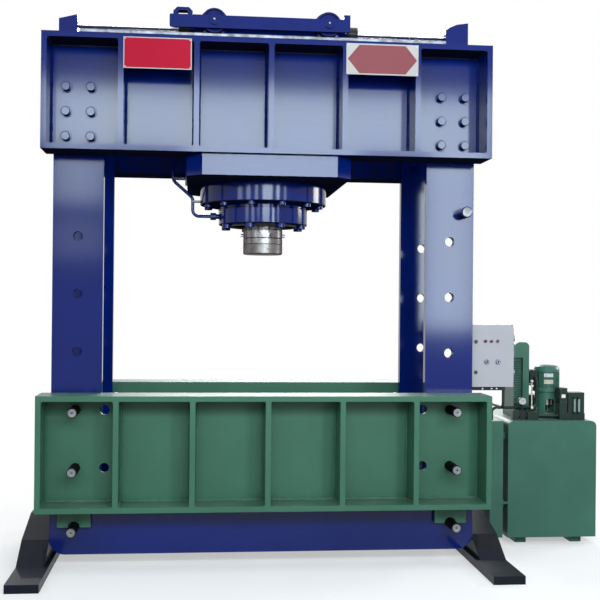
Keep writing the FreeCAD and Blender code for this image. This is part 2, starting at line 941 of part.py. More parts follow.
def foot(label, side):
    """A flat bar on the floor with a hollow tapered box that stands against the columns."""
    body = new_body(label)
    near, far = f"({COLUMN_OUT} - foot_overlap)", f"({COLUMN_OUT} - foot_overlap + foot_width)"
    base = sorted((f"{side}*{near}", f"{side}*{far}"), key=number)
    pad(body, "YZ", [rectangle(("-foot_reach", "foot_reach"), ("0", "foot_base"))], *base)
    box_in, box_out = f"{side}*{COLUMN_OUT}", f"{side}*{far}"
    riser = [
        ("-foot_rise_y", "foot_base"),
        ("foot_rise_y", "foot_base"),
        ("foot_shoulder_y", "foot_shoulder_z"),
        ("foot_flat_y", "foot_top"),
        ("-foot_flat_y", "foot_top"),
        ("-foot_shoulder_y", "foot_shoulder_z"),
    ]
    pad(body, "YZ", [riser], *sorted((box_in, box_out), key=number))
    room = [
        ("-foot_shoulder_y", "foot_base + foot_wall"),
        ("foot_shoulder_y", "foot_base + foot_wall"),
        ("foot_shoulder_y", "foot_shoulder_z - 2*foot_wall"),
        ("foot_flat_y", "foot_top - foot_wall"),
        ("-foot_flat_y", "foot_top - foot_wall"),
        ("-foot_shoulder_y", "foot_shoulder_z - 2*foot_wall"),
    ]
    walls = (f"{side}*({COLUMN_OUT} + foot_wall)", f"{side}*({far} - foot_wall)")
    pocket(body, "YZ", [room], *sorted(walls, key=number))


def bed_cross_plates():
    """Plates between the two bed girders, below the working opening."""
    body = new_body("bed_cross_plates")
    height = (f"{BED_BOTTOM} + girder_plate", f"{BED_BOTTOM} + girder_plate + cross_plate_height")
    for place_x in ("-cross_plate_x", "0", "cross_plate_x"):
        edges = (f"{place_x} - cross_plate/2", f"{place_x} + cross_plate/2")
        pad(body, "YZ", [rectangle((f"-{FACE}", FACE), height)], *edges)


def bed_pin(label, side, level):
    """One long pin through girders and columns, standing out at the front."""
    start = f"{WEB} + pin_out_front"
    end = f"{WEB} + pin_out_rear"
    body = new_body(label, f"{side}*{COLUMN_MID}", "0", pin_row(level))
    radius = "pin_diameter/2"
    turn(
        body,
        "YZ",
        [
            (f"-({start})", "0"),
            (end, "0"),
            (end, f"{radius} - pin_chamfer"),
            (f"{end} - pin_chamfer", radius),
            (f"-({start}) + pin_chamfer", radius),
            (f"-({start})", f"{radius} - pin_chamfer"),
        ],
        "H_Axis",
    )


def sign_plates():
    """Two bare plates on the front of the head, flush with its flange and ribs."""
    body = new_body("sign_plates")
    for rib, inset, width, drop, height in (
        (1, "sign_left_inset", "sign_left_width", "sign_left_drop", "sign_left_height"),
        (4, "sign_right_inset", "sign_right_width", "sign_right_drop", "sign_right_height"),
    ):
        left = f"({rib}*{HEAD_PITCH} - {HEAD_LENGTH}/2 + {inset})"
        top = f"(head_top - {drop})"
        across, along = (left, f"{left} + {width}"), (f"{top} - {height}", top)
        pad(body, "XZ", [rectangle(across, along)], f"-{FLANGE} - sign_plate", f"-{FLANGE}")


# ------------------------------------------------------------------- rails and traverse cylinder


def rails():
    """Two flat rails on the head with bevelled upper edges."""
    body = new_body("rails")
    low, high = f"rail_inset_left - {HEAD_LENGTH}/2", f"{HEAD_LENGTH}/2 - rail_inset_right"
    for side in FRONT_REAR:
        y = [f"{side}*{RAIL_Y} - rail_width/2", f"{side}*{RAIL_Y} + rail_width/2"]
        section = [
            (y[0], "head_top"),
            (y[1], "head_top"),
            (y[1], "head_top + rail_height - rail_chamfer"),
            (f"{y[1]} - rail_chamfer", "head_top + rail_height"),
            (f"{y[0]} + rail_chamfer", "head_top + rail_height"),
            (y[0], "head_top + rail_height - rail_chamfer"),
        ]
        pad(body, "YZ", [section], low, high)


def traverse_posts():
    """Two posts on the head that hold the ends of the traverse rod."""
    body = new_body("traverse_posts")
    depth = (f"-{TRAVERSE_Y} - post_depth/2", f"-{TRAVERSE_Y} + post_depth/2")
    left = (f"-{POST_LEFT} - post_left_width/2", f"-{POST_LEFT} + post_left_width/2")
    left_top = "(head_top + post_left_height)"
    left_post = [
        (left[0], "head_top"),
        (left[1], "head_top"),
        (left[1], left_top),
        (left[0], f"{left_top} - post_left_slope"),
    ]
    pad(body, "XZ", [left_post], *depth)
    right = (f"{POST_RIGHT} - post_right_width/2", f"{POST_RIGHT} + post_right_width/2")
    right_top = "(head_top + post_right_height)"
    right_post = [
        (right[0], "head_top"),
        (right[1], "head_top"),
        (right[1], right_top),
        (POST_RIGHT, f"{right_top} - post_right_slope"),
        (f"{right[0]} + post_right_step", f"{right_top} - post_right_drop"),
        (right[0], "head_top + post_right_shoulder"),
    ]
    pad(body, "XZ", [right_post], *depth)
    hole = (f"-{TRAVERSE_Y}", TRAVERSE_Z, SPIGOT_HOLE)
    pocket(body, "YZ", [hole], f"{left[0]} - cut_past", f"{right[1]} + cut_past")


def traverse_rod():
    """Rod that is shouldered between the posts, with the piston at its middle."""
    body = new_body("traverse_rod", "0", f"-{TRAVERSE_Y}", TRAVERSE_Z)
    left = (f"-{POST_LEFT} - post_left_width/2", f"-{POST_LEFT} + post_left_width/2")
    right = (f"{POST_RIGHT} - post_right_width/2", f"{POST_RIGHT} + post_right_width/2")
    rod, spigot = "traverse_rod/2", "traverse_spigot/2"
    piston = "traverse_bore/2 - traverse_clearance"
    turn(
        body,
        "XZ",
        [
            (left[0], "0"),
            (right[1], "0"),
            (right[1], spigot),
            (right[0], spigot),
            (right[0], rod),
            ("traverse_piston/2", rod),
            ("traverse_piston/2", piston),
            ("-traverse_piston/2", piston),
            ("-traverse_piston/2", rod),
            (left[1], rod),
            (left[1], spigot),
            (left[0], spigot),
        ],
        "H_Axis",
    )


def traverse_barrel():
    """Barrel that slides along the rod and pulls the carriage, with a gland at each end."""
    body = new_body("traverse_barrel", "0", f"-{TRAVERSE_Y}", TRAVERSE_Z)
    hole, bore = "traverse_rod/2 + traverse_clearance", "traverse_bore/2"
    tube, gland = "traverse_tube/2", "traverse_gland/2"
    left, right = "-traverse_left", "traverse_right"
    turn(
        body,
        "XZ",
        [
            (f"{left} - traverse_gland_length", hole),
            (f"{left} + traverse_gland_length/2", hole),
            (f"{left} + traverse_gland_length/2", bore),
            (f"{right} - traverse_gland_length/2", bore),
            (f"{right} - traverse_gland_length/2", hole),
            (f"{right} + traverse_gland_length", hole),
            (f"{right} + traverse_gland_length", f"{gland} - traverse_gland_chamfer"),
            (f"{right} + traverse_gland_length - traverse_gland_chamfer", gland),
            (right, gland),
            (right, tube),
            (left, tube),
            (left, gland),
            (f"{left} - traverse_gland_length + traverse_gland_chamfer", gland),
            (f"{left} - traverse_gland_length", f"{gland} - traverse_gland_chamfer"),
        ],
        "H_Axis",
    )


# ----------------------------------------------------------------------------------- carriage

WHEEL_OUT = f"({RAIL_Y} + wheel_tread_width/2)"
WHEEL_IN = f"({RAIL_Y} - wheel_tread_width/2 - wheel_flange_width)"
CHEEK_OUT = f"({WHEEL_OUT} + wheel_side_gap)"
CHEEK_IN = f"({WHEEL_IN} - wheel_side_gap)"


def wheel_x(end):
    return f"(wheel_offset + {end}*wheel_spacing/2)"


def wheel(label, end, side):
    """Rail wheel: tread, one flange on the inner side of the rail, a recessed web and a bore."""
    body = new_body(label, wheel_x(end), f"{side}*{RAIL_Y}", WHEEL_Z)
    half, lip = "wheel_tread_width/2", "(wheel_tread_width/2 + wheel_flange_width)"
    tread, flange = "wheel_tread/2", "wheel_flange/2"
    bore = "axle_diameter/2 + wheel_bore_clearance"
    hub = "axle_diameter/2 + wheel_hub"
    out = "" if side > 0 else "-"
    inn = "-" if side > 0 else ""
    turn(
        body,
        "YZ",
        [
            (f"{out}{half}", bore),
            (f"{out}{half}", hub),
            (f"{out}({half} - wheel_recess)", f"{hub} + wheel_slope"),
            (f"{out}({half} - wheel_recess)", f"{tread} - wheel_rim - wheel_slope"),
            (f"{out}{half}", f"{tread} - wheel_rim"),
            (f"{out}{half}", f"{tread} - wheel_chamfer"),
            (f"{out}({half} - wheel_chamfer)", tread),
            (f"{inn}{half}", tread),
            (f"{inn}({half} + wheel_chamfer)", flange),
            (f"{inn}{lip}", f"{flange} - wheel_chamfer"),
            (f"{inn}{lip}", bore),
        ],
        "H_Axis",
    )


def carriage_cheeks():
    """Outer side bars beside the wheels, with the strap bracket and the stop block at the front."""
    body = new_body("carriage_cheeks")
    height = ("head_top + cheek_low", "head_top + cheek_high")
    for side in FRONT_REAR:
        low, high = band(side, CHEEK_OUT, f"{CHEEK_OUT} + cheek_plate")
        pad(body, "XZ", [rectangle(("-cheek_left", "cheek_right"), height)], low, high)
    soften(
        body,
        "Fillet",
        "cheek_plate/2",
        lambda e: straight_along(e, 1) and abs(middle(e).x) > number("cheek_right") - NEAR,
    )
    holes = [(wheel_x(end), WHEEL_Z, "axle_diameter + 2*wheel_bore_clearance") for end in LEFT_RIGHT]
    reach = f"({CHEEK_OUT} + cheek_plate + cut_past)"
    pocket(body, "XZ", holes, f"-{reach}", reach)
    strap_low = f"-{CHEEK_OUT} - cheek_plate"
    top = "head_top + bracket_top"
    foot_z = "head_top + cheek_high"
    strap = [
        ("-bracket_left", foot_z),
        ("-bracket_left", f"{top} - bracket_corner"),
        ("-bracket_left + bracket_corner", top),
        ("-bracket_right - bracket_corner", top),
        ("-bracket_right", f"{top} - bracket_corner"),
        ("-bracket_right", foot_z),
        ("-bracket_right - bracket_strap", foot_z),
        ("-bracket_right - bracket_strap", f"{top} - bracket_corner - bracket_strap/2"),
        ("-bracket_right - bracket_corner - bracket_strap/2", f"{top} - bracket_strap"),
        ("-bracket_left + bracket_corner + bracket_strap/2", f"{top} - bracket_strap"),
        ("-bracket_left + bracket_strap", f"{top} - bracket_corner - bracket_strap/2"),
        ("-bracket_left + bracket_strap", foot_z),
    ]
    pad(body, "XZ", [strap], strap_low, f"{strap_low} + bracket_depth")
    block = ("cheek_right - stop_block_width", "cheek_right")
    block_z = (foot_z, "head_top + cheek_high + stop_block_height")
    pad(body, "XZ", [rectangle(block, block_z)], strap_low, f"{strap_low} + cheek_plate")


def carriage_frame():
    """Inner side bars and the two hollow beams across the head that carry the cylinder."""
    body = new_body("carriage_frame")
    height = (BEAM_BOTTOM, "head_top + cheek_high")
    for side in FRONT_REAR:
        low, high = band(side, f"{CHEEK_IN} - cheek_plate", CHEEK_IN)
        pad(body, "XZ", [rectangle(("-cheek_inner_half", "cheek_inner_half"), height)], low, high)
    holes = [(wheel_x(end), WHEEL_Z, "axle_diameter + 2*wheel_bore_clearance") for end in LEFT_RIGHT]
    reach = f"({CHEEK_IN} + cut_past)"
    pocket(body, "XZ", holes, f"-{reach}", reach)
    inner = f"({CHEEK_IN} - cheek_plate)"
    for end in LEFT_RIGHT:
        middle_x = f"{end}*beam_x"
        wall = rectangle(
            (f"{middle_x} - beam_width/2", f"{middle_x} + beam_width/2"),
            (BEAM_BOTTOM, BEAM_TOP),
        )
        hollow = rectangle(
            (f"{middle_x} - beam_width/2 + beam_wall", f"{middle_x} + beam_width/2 - beam_wall"),
            (f"{BEAM_BOTTOM} + beam_wall", f"{BEAM_TOP} - beam_wall"),
        )
        pad(body, "XZ", [wall, hollow], f"-{inner}", inner)


def wheel_axles():
    """Four stub axles through outer bar, wheel and inner bar."""
    body = new_body("wheel_axles")
    spots = [(wheel_x(end), WHEEL_Z) for end in LEFT_RIGHT]
    for side in FRONT_REAR:
        segments = (
            ("axle_diameter", f"{CHEEK_IN} - cheek_plate", f"{CHEEK_OUT} + cheek_plate"),
            ("axle_head", f"{CHEEK_OUT} + cheek_plate", f"{CHEEK_OUT} + cheek_plate + axle_head_length"),
        )
        for diameter, near, far in segments:
            low, high = band(side, near, far)
            pad(body, "XZ", [(x, z, diameter) for x, z in spots], low, high)


# ------------------------------------------------------------------------- slab and cylinder


def reaction_slab():
    """Thick slab under the head with four cut corners and the bore for the cylinder barrel."""
    body = new_body("reaction_slab")
    x, y, cut = "slab_half_x", SLAB_Y, "slab_corner"
    corners = []
    for sx, sy, first in ((-1, -1, 0), (1, -1, 1), (1, 1, 0), (-1, 1, 1)):
        along = (f"{sx}*({x} - {cut})", f"{sy}*{y}")
        across = (f"{sx}*{x}", f"{sy}*({y} - {cut})")
        corners += [along, across] if first else [across, along]
    pad(body, "XY", [corners], SLAB_BOTTOM, SLAB_TOP)
    room = ("0", "0", f"{BARREL} + 2*bolt_clearance")
    pocket(body, "XY", [room], f"{SLAB_BOTTOM} - cut_past", f"{SLAB_TOP} + cut_past")
    thread = pocket(
        body,
        "XY",
        [(*FLANGE_BOLT, "flange_bolt_shank + 2*bolt_clearance")],
        f"{SLAB_BOTTOM} - cut_past",
        f"{SLAB_BOTTOM} + flange_bolt_grip + bolt_end_room",
    )
    ring(body, thread, "Z", "flange_bolt_count")


def cylinder_barrel():
    """Barrel and its lower flange, with bolt holes for the slab and for the gland."""
    body = new_body("cylinder_barrel")
    bore, tube, flange = "barrel_bore/2", f"{BARREL}/2", f"{BARREL_FLANGE}/2"
    bevel = "barrel_chamfer"
    turn(
        body,
        "XZ",
        [
            (bore, BARREL_BOTTOM),
            (f"{flange} - {bevel}", BARREL_BOTTOM),
            (flange, f"{BARREL_BOTTOM} + {bevel}"),
            (flange, f"{SLAB_BOTTOM} - {bevel}"),
            (f"{flange} - {bevel}", SLAB_BOTTOM),
            (tube, SLAB_BOTTOM),
            (tube, BARREL_TOP),
            (bore, BARREL_TOP),
        ],
        "V_Axis",
    )
    outer = pocket(
        body,
        "XY",
        [(*FLANGE_BOLT, "flange_bolt_shank + 2*bolt_clearance")],
        f"{BARREL_BOTTOM} - cut_past",
        f"{SLAB_BOTTOM} + cut_past",
    )
    ring(body, outer, "Z", "flange_bolt_count")
    inner = pocket(
        body,
        "XY",
        [(*GLAND_BOLT, "gland_bolt_shank + 2*bolt_clearance")],
        f"{BARREL_BOTTOM} - cut_past",
        f"{BARREL_BOTTOM} + gland_bolt_grip",
    )
    ring(body, inner, "Z", "gland_bolt_count")


def cylinder_cap():
    """End cap on the barrel, with a boss up to the carriage beams and a spigot in the bore."""
    body = new_body("cylinder_cap")
    edge = f"{BARREL}/2"
    turn(
        body,
        "XZ",
        [
            ("0", f"{BARREL_TOP} - piston_gap/2"),
            ("barrel_bore/2 - piston_fit", f"{BARREL_TOP} - piston_gap/2"),
            ("barrel_bore/2 - piston_fit", BARREL_TOP),
            (edge, BARREL_TOP),
            (edge, f"{BARREL_TOP} + cap_height - barrel_chamfer"),
            (f"{edge} - barrel_chamfer", f"{BARREL_TOP} + cap_height"),
            ("cap_boss/2", f"{BARREL_TOP} + cap_height"),
            ("cap_boss/2", BEAM_BOTTOM),
            ("0", BEAM_BOTTOM),
        ],
        "V_Axis",
    )


def cylinder_gland():
    """Gland ring under the cylinder with its groove, spigot and bolt holes."""
    body = new_body("cylinder_gland")
    edge, rod = f"{GLAND}/2", "ram_diameter/2 + ram_fit"
    spigot = "barrel_bore/2 - piston_fit"
    groove = f"{BARREL_BOTTOM} - gland_groove_z"
    turn(
        body,
        "XZ",
        [
            (rod, GLAND_BOTTOM),
            (f"{edge} - barrel_chamfer", GLAND_BOTTOM),
            (edge, f"{GLAND_BOTTOM} + barrel_chamfer"),
            (edge, f"{groove} - gland_groove"),
            (f"{edge} - gland_groove", f"{groove} - gland_groove"),
            (f"{edge} - gland_groove", groove),
            (edge, groove),
            (edge, BARREL_BOTTOM),
            (spigot, BARREL_BOTTOM),
            (spigot, f"{BARREL_BOTTOM} + gland_spigot"),
            (rod, f"{BARREL_BOTTOM} + gland_spigot"),
        ],
        "V_Axis",
    )
    hole = pocket(
        body,
        "XY",
        [(*GLAND_BOLT, "gland_bolt_shank + 2*bolt_clearance")],
        f"{GLAND_BOTTOM} - cut_past",
        f"{BARREL_BOTTOM} + cut_past",
    )
    ring(body, hole, "Z", "gland_bolt_count")


def cylinder_bolts():
    """Cap screws that hold the gland to the barrel and the barrel's flange to the slab."""
    body = new_body("cylinder_bolts")
    sets = (
        (
            GLAND_BOLT,
            GLAND_BOTTOM,
            "gland_bolt_head",
            "gland_bolt_height",
            "gland_bolt_shank",
            f"{BARREL_BOTTOM} + gland_bolt_grip - bolt_end_room",
            "gland_bolt_count",
        ),
        (
            FLANGE_BOLT,
            BARREL_BOTTOM,
            "flange_bolt_head",
            "flange_bolt_height",
            "flange_bolt_shank",
            f"{SLAB_BOTTOM} + flange_bolt_grip",
            "flange_bolt_count",
        ),
    )
    for spot, under, head, height, shank, end, count in sets:
        first = pad(body, "XY", [(*spot, head)], f"{under} - {height}", under)
        ring(body, first, "Z", count)
        second = pad(body, "XY", [(*spot, shank)], under, end)
        ring(body, second, "Z", count)


def v_groove(radius, height, depth):
    """Two extra corners of a turned outline that make a small groove in its side."""
    return [
        (radius, f"{height} - {depth}"),
        (f"{radius} - {depth}", height),
        (radius, f"{height} + {depth}"),
    ]


def ram():
    """Ram with its piston head, ring grooves near the nose and a bore for the nose's spigot."""
    body = new_body("ram")
    rod = "ram_diameter/2"
    end = f"{RAM_BOTTOM} + nose_height"
    screws = f"({RAM_BOTTOM} + screw_z)"
    socket = "nose_spigot/2 + nose_fit"
    socket_top = f"{end} + nose_spigot_height + nose_room"
    turn(
        body,
        "XZ",
        [
            (socket, end),
            (f"{rod} - ram_chamfer", end),
            (rod, f"{end} + ram_chamfer"),
            *v_groove(rod, f"{screws} - ram_groove_below", "ram_groove"),
            *v_groove(rod, f"{screws} + ram_groove_above", "ram_groove"),
            (rod, f"{PISTON_TOP} - piston_height"),
            ("barrel_bore/2 - piston_fit", f"{PISTON_TOP} - piston_height"),
            ("barrel_bore/2 - piston_fit", PISTON_TOP),
            ("0", PISTON_TOP),
            ("0", socket_top),
            (socket, socket_top),
        ],
        "V_Axis",
    )
    across = [("0", screws, "screw_diameter + 2*screw_fit")]
    pocket(body, "YZ", across, f"-{rod} - cut_past", f"{rod} + cut_past")
    front = [("screw_hole_x", screws, "screw_diameter")]
    pocket(body, "XZ", front, f"-{rod} - cut_past", f"-{rod} + screw_hole_depth")


def ram_nose():
    """Pressure pad under the ram, with a spigot that the set screws hold."""
    body = new_body("ram_nose")
    end = f"{RAM_BOTTOM} + nose_height"
    turn(
        body,
        "XZ",
        [
            ("0", RAM_BOTTOM),
            ("ram_diameter/2 - nose_chamfer", RAM_BOTTOM),
            ("ram_diameter/2", f"{RAM_BOTTOM} + nose_chamfer"),
            ("ram_diameter/2", f"{end} - ram_chamfer"),
            ("ram_diameter/2 - ram_chamfer", end),
            ("nose_spigot/2", end),
            ("nose_spigot/2", f"{end} + nose_spigot_height"),
            ("0", f"{end} + nose_spigot_height"),
        ],
        "V_Axis",
    )


def ram_screws():
    """Set screws at the left and right of the ram that press on the nose's spigot."""
    body = new_body("ram_screws", "0", "0", f"{RAM_BOTTOM} + screw_z")
    for side in LEFT_RIGHT:
        ends = (f"{side}*(nose_spigot/2 + nose_fit)", f"{side}*(ram_diameter/2 + screw_out)")
        pad(body, "YZ", [("0", "0", "screw_diameter")], *sorted(ends, key=number))


def rounded_path(points, bend):
    """A wire through points with tangent arcs at its corners."""
    edges = []
    start = points[0]
    for previous, corner, following in zip(points, points[1:], points[2:]):
        back = (previous - corner).normalize()
        ahead = (following - corner).normalize()
        half = back.getAngle(ahead) / 2
        reach = bend / math.tan(half)
        first = corner + back * reach
        last = corner + ahead * reach
        bisector = (back + ahead).normalize()
        top = corner + bisector * (bend / math.sin(half) - bend)
        edges.append(Part.LineSegment(start, first).toShape())
        edges.append(Part.Arc(first, top, last).toShape())
        start = last
    edges.append(Part.LineSegment(start, points[-1]).toShape())
    return Part.Wire(edges)


def tube_shape(points, diameter, bend):
    """A round bar swept along a route with bends; the route's points are vectors."""
    path = rounded_path(points, bend)
    along = points[1] - points[0]
    profile = Part.Wire([Part.makeCircle(diameter / 2, points[0], along)])
    return path.makePipeShell([profile], True, True)


def route(label, points, diameter, bend):
    """A swept bar as an object of its own; its route lies in space, so no sketch plane fits it."""
    item = document.addObject("Part::Feature", label)
    vectors = [FreeCAD.Vector(*(number(value) for value in point)) for point in points]
    item.Shape = tube_shape(vectors, number(diameter), number(bend))
    item.Placement = FreeCAD.Placement(FreeCAD.Vector(number("centre_x"), 0, 0), FreeCAD.Rotation())
    return item


def return_pipe():
    """Steel pipe into the gland ring's left side, its nuts and the clips that hold it."""
    low = f"({GLAND_BOTTOM} + pipe_z)"
    wall = f"(-{GLAND}/2)"
    near, away = f"(-{GLAND}/2 - pipe_out)", "(-slab_half_x - pipe_past_slab)"
    slope = f"({low} + pipe_rise)"
    top = f"({SLAB_TOP} + pipe_top)"
    points = [
        (f"{wall} - pipe_neck_length", "0", low),
        (near, "0", low),
        (near, "0", slope),
        (away, "0", f"{slope} + pipe_slope"),
        (away, "0", top),
    ]
    pipe = route("return_pipe_run", points, "pipe_diameter", "pipe_bend")
    neck_start = (f"{wall} - pipe_neck_length", "0", low)
    neck = cylinder("return_pipe_neck", "X", neck_start, "pipe_neck_length", "pipe_neck")
    nut_start = (f"{wall} - pipe_neck_length - pipe_nut_length", "0", low)
    nut = cylinder("return_pipe_nut", "X", nut_start, "pipe_nut_length", "pipe_nut")
    union_start = (away, "0", f"{top} - pipe_nut_length")
    union = cylinder("return_pipe_union", "Z", union_start, "pipe_nut_length", "pipe_nut")
    width = ("-clip_width/2", "clip_width/2")
    over = "pipe_diameter/2 + clip_over"
    clips = [
        box(
            "return_pipe_slab_plate",
            ("-slab_half_x - clip_plate", "-slab_half_x"),
            width,
            (f"{SLAB_BOTTOM} + clip_low", f"{SLAB_BOTTOM} + clip_low + clip_height"),
        ),
        box(
            "return_pipe_slab_arm",
            (f"{away} - {over}", "-slab_half_x - clip_plate"),
            width,
            (f"{SLAB_BOTTOM} + clip_arm_low", f"{SLAB_BOTTOM} + clip_arm_low + clip_plate"),
        ),
        box(
            "return_pipe_flange_arm",
            (f"{near} - {over}", f"-{BARREL_FLANGE}/2"),
            width,
            (f"{BARREL_BOTTOM} + clip_flange_low", f"{BARREL_BOTTOM} + clip_flange_low + clip_plate"),
        ),
    ]
    part(fuse("return_pipe", [pipe, neck, nut, union, *clips]), "return_pipe")


# --------------------------------------------------------------------------------- power unit


def tank():
    """Oil tank of sheet steel with rounded upper edges, on two channel feet."""
    body = new_body("tank", TANK_LEFT, "tank_front", "0")
    outer = rectangle(("0", "tank_width"), ("tank_foot", TANK_TOP))
    pad(body, "XZ", [outer], "0", "tank_depth")
    soften(
        body,
        "Fillet",
        "tank_round",
        lambda e: straight_along(e, 1) and middle(e).z > number(TANK_TOP) - NEAR,
    )
    inner = rectangle(
        ("tank_wall", "tank_width - tank_wall"),
        ("tank_foot + tank_wall", f"{TANK_TOP} - tank_round"),
    )
    pocket(body, "XZ", [inner], "tank_wall", "tank_depth - tank_wall")
    along = ("tank_foot_width", "tank_depth - tank_foot_width")
    for start in ("tank_foot_width", "tank_width - 2*tank_foot_width"):
        foot_x = (start, f"{start} + tank_foot_width")
        pad(body, "XZ", [rectangle(foot_x, ("0", "tank_foot"))], *along)


def side_duct():
    """Narrow pipe duct beside the tank, held by a strap and two distance pieces."""
    right = f"({DUCT_LEFT} + duct_width)"
    depth = ("tank_front", "tank_front + duct_depth")
    shell = box("side_duct_shell", (DUCT_LEFT, right), depth, ("tank_foot", TANK_TOP))
    room = box(
        "side_duct_room",
        (f"{DUCT_LEFT} + duct_wall", f"{right} - duct_wall"),
        ("tank_front + duct_wall", "tank_front + duct_depth - duct_wall"),
        ("tank_foot - cut_past", f"{TANK_TOP} - duct_wall"),
    )
    strap = box(
        "side_duct_strap",
        (DUCT_LEFT, TANK_LEFT),
        ("tank_front - duct_strap_plate", "tank_front"),
        ("tank_foot + duct_strap_z", "tank_foot + duct_strap_z + duct_strap_height"),
    )
    spacer_y = ("tank_front + duct_spacer_y", "tank_front + duct_spacer_y + duct_spacer_depth")
    spacers = []
    for level in ("duct_spacer_low", "duct_spacer_high"):
        height = (f"tank_foot + {level}", f"tank_foot + {level} + duct_spacer_height")
        spacers.append(box(f"side_{level}", (right, TANK_LEFT), spacer_y, height))
    hollow = minus("side_duct_hollow", shell, [room])
    part(fuse("side_duct", [hollow, strap, *spacers]), "side_duct")


def cooler_housing():
    """Tall oil cooler with a rounded top, finned core in a recess at its front."""
    body = new_body("cooler_housing", *COOLER, TANK_TOP)
    pad(body, "XZ", [rectangle(("0", "cooler_width"), ("0", "cooler_height"))], "0", "cooler_depth")
    soften(
        body,
        "Fillet",
        "cooler_round",
        lambda e: straight_along(e, 1) and middle(e).z > number("cooler_height") - NEAR,
    )
    window = rectangle(
        ("0", "cooler_inset_width"),
        ("cooler_inset_z", "cooler_inset_z + cooler_inset_height"),
    )
    pocket(body, "XZ", [window], "-cut_past", "cooler_inset_depth")
    fin_z = "(cooler_inset_z + cooler_fin_pitch/2)"
    first = rectangle(("0", "cooler_inset_width"), (fin_z, f"{fin_z} + cooler_fin"))
    fin = pad(body, "XZ", [first], "cooler_fin_back", "cooler_inset_depth")
    row(body, fin, "Z", "cooler_fin_pitch*(cooler_fin_count - 1)", "cooler_fin_count")


BELL_TOP = f"({TANK_TOP} + bell_height)"


def bell_housing():
    """Bell housing between tank and motor with four arched windows."""
    body = new_body("bell_housing", *MOTOR, TANK_TOP)
    outer, inner = "bell_diameter/2", "(bell_diameter/2 - bell_wall)"
    turn(
        body,
        "XZ",
        [
            (inner, "0"),
            ("bell_foot/2", "0"),
            ("bell_foot/2", "bell_foot_height"),
            (outer, "bell_foot_height"),
            (outer, "bell_height - bell_foot_height"),
            ("motor_flange/2", "bell_height - bell_foot_height"),
            ("motor_flange/2", "bell_height"),
            (inner, "bell_height"),
        ],
        "V_Axis",
    )
    low = "(bell_foot_height + bell_window_low)"
    top = f"({low} + bell_window_height)"
    for plane in ("XZ", "YZ"):
        arch = [
            ("-bell_window/2", low),
            ("bell_window/2", low),
            ("bell_window/2", f"{top} - bell_window_arch"),
            ("bell_window_top/2", top),
            ("-bell_window_top/2", top),
            ("-bell_window/2", f"{top} - bell_window_arch"),
        ]
        pocket(body, plane, [arch], f"-{outer} - cut_past", f"{outer} + cut_past")


def motor_housing():
    """Stator housing with cooling ribs, its flange and the fan cowl with slots in the top."""
    body = new_body("motor_housing", *MOTOR, BELL_TOP)
    outer, inner = "motor_diameter/2", "(motor_diameter/2 - motor_wall)"
    top = "(motor_flange_height + motor_height + cowl_height)"
    shaft = "(shaft_diameter/2 + bearing_fit)"
    turn(
        body,
        "XZ",
        [
            (shaft, "0"),
            ("motor_flange/2", "0"),
            ("motor_flange/2", "motor_flange_height"),
            (f"{outer} - motor_fin_depth", "motor_flange_height"),
            (f"{outer} - motor_fin_depth", "motor_flange_height + motor_height"),
            (outer, "motor_flange_height + motor_height"),
            (outer, f"{top} - cowl_round"),
            (f"{outer} - cowl_bevel", f"{top} - cowl_bevel"),
            (f"{outer} - cowl_round", top),
            ("shaft_diameter", top),
            ("shaft_diameter", f"{top} - cowl_wall"),
            (f"{outer} - cowl_round - cowl_wall", f"{top} - cowl_wall"),
            (f"{outer} - cowl_wall", f"{top} - cowl_round"),
            (f"{outer} - cowl_wall", "motor_flange_height + motor_height + cowl_wall"),
            (shaft, "motor_flange_height + motor_height + cowl_wall"),
            (shaft, "motor_flange_height + motor_height - cowl_wall"),
            (inner, "motor_flange_height + motor_height - cowl_wall"),
            (inner, "motor_flange_height"),
            (shaft, "motor_flange_height"),
        ],
        "V_Axis",
    )
    fin = pad(
        body,
        "XY",
        [rectangle((f"{outer} - motor_fin_depth - cut_past", outer), ("-motor_fin/2", "motor_fin/2"))],
        "motor_flange_height",
        "motor_flange_height + motor_height",
    )
    ring(body, fin, "Z", "motor_fin_count")


def motor_rotor():
    """Shaft with rotor, cooling fan in the cowl and the coupling in the bell housing."""
    body = new_body("motor_rotor", *MOTOR, BELL_TOP)
    shaft = "shaft_diameter/2"
    rotor_low = "motor_flange_height + rotor_gap"
    hub_low = "motor_flange_height + motor_height + cowl_wall + fan_gap"
    turn(
        body,
        "XZ",
        [
            ("0", "-coupling_height - coupling_drop"),
            ("coupling_diameter/2", "-coupling_height - coupling_drop"),
            ("coupling_diameter/2", "-coupling_drop"),
            (shaft, "-coupling_drop"),
            (shaft, rotor_low),
            ("rotor_diameter/2", rotor_low),
            ("rotor_diameter/2", f"{rotor_low} + rotor_height"),
            (shaft, f"{rotor_low} + rotor_height"),
            (shaft, hub_low),
            ("shaft_diameter", hub_low),
            ("shaft_diameter", f"{hub_low} + fan_height"),
            ("0", f"{hub_low} + fan_height"),
        ],
        "V_Axis",
    )
    blade = pad(
        body,
        "XY",
        [rectangle(("shaft_diameter - cut_past", "fan_diameter/2"), ("-fan_blade/2", "fan_blade/2"))],
        hub_low,
        f"{hub_low} + fan_height",
    )
    ring(body, blade, "Z", "fan_blades")


def terminal_box():
    """Motor terminal box on the left of the motor, with a lid that overlaps it."""
    left = f"{MOTOR[0]} - motor_diameter/2 - terminal_width"
    body = new_body("terminal_box", left, MOTOR[1], BELL_TOP)
    half, low, high = "terminal_depth/2", "terminal_z", "(terminal_z + terminal_height)"
    pad(body, "YZ", [rectangle((f"-{half}", half), (low, high))], "terminal_lid_room", "terminal_width")
    lid = rectangle(
        (f"-{half} - terminal_lid_lip", f"{half} + terminal_lid_lip"),
        (f"{low} - terminal_lid_lip", f"{high} + terminal_lid_lip"),
    )
    pad(body, "YZ", [lid], "0", "terminal_lid")


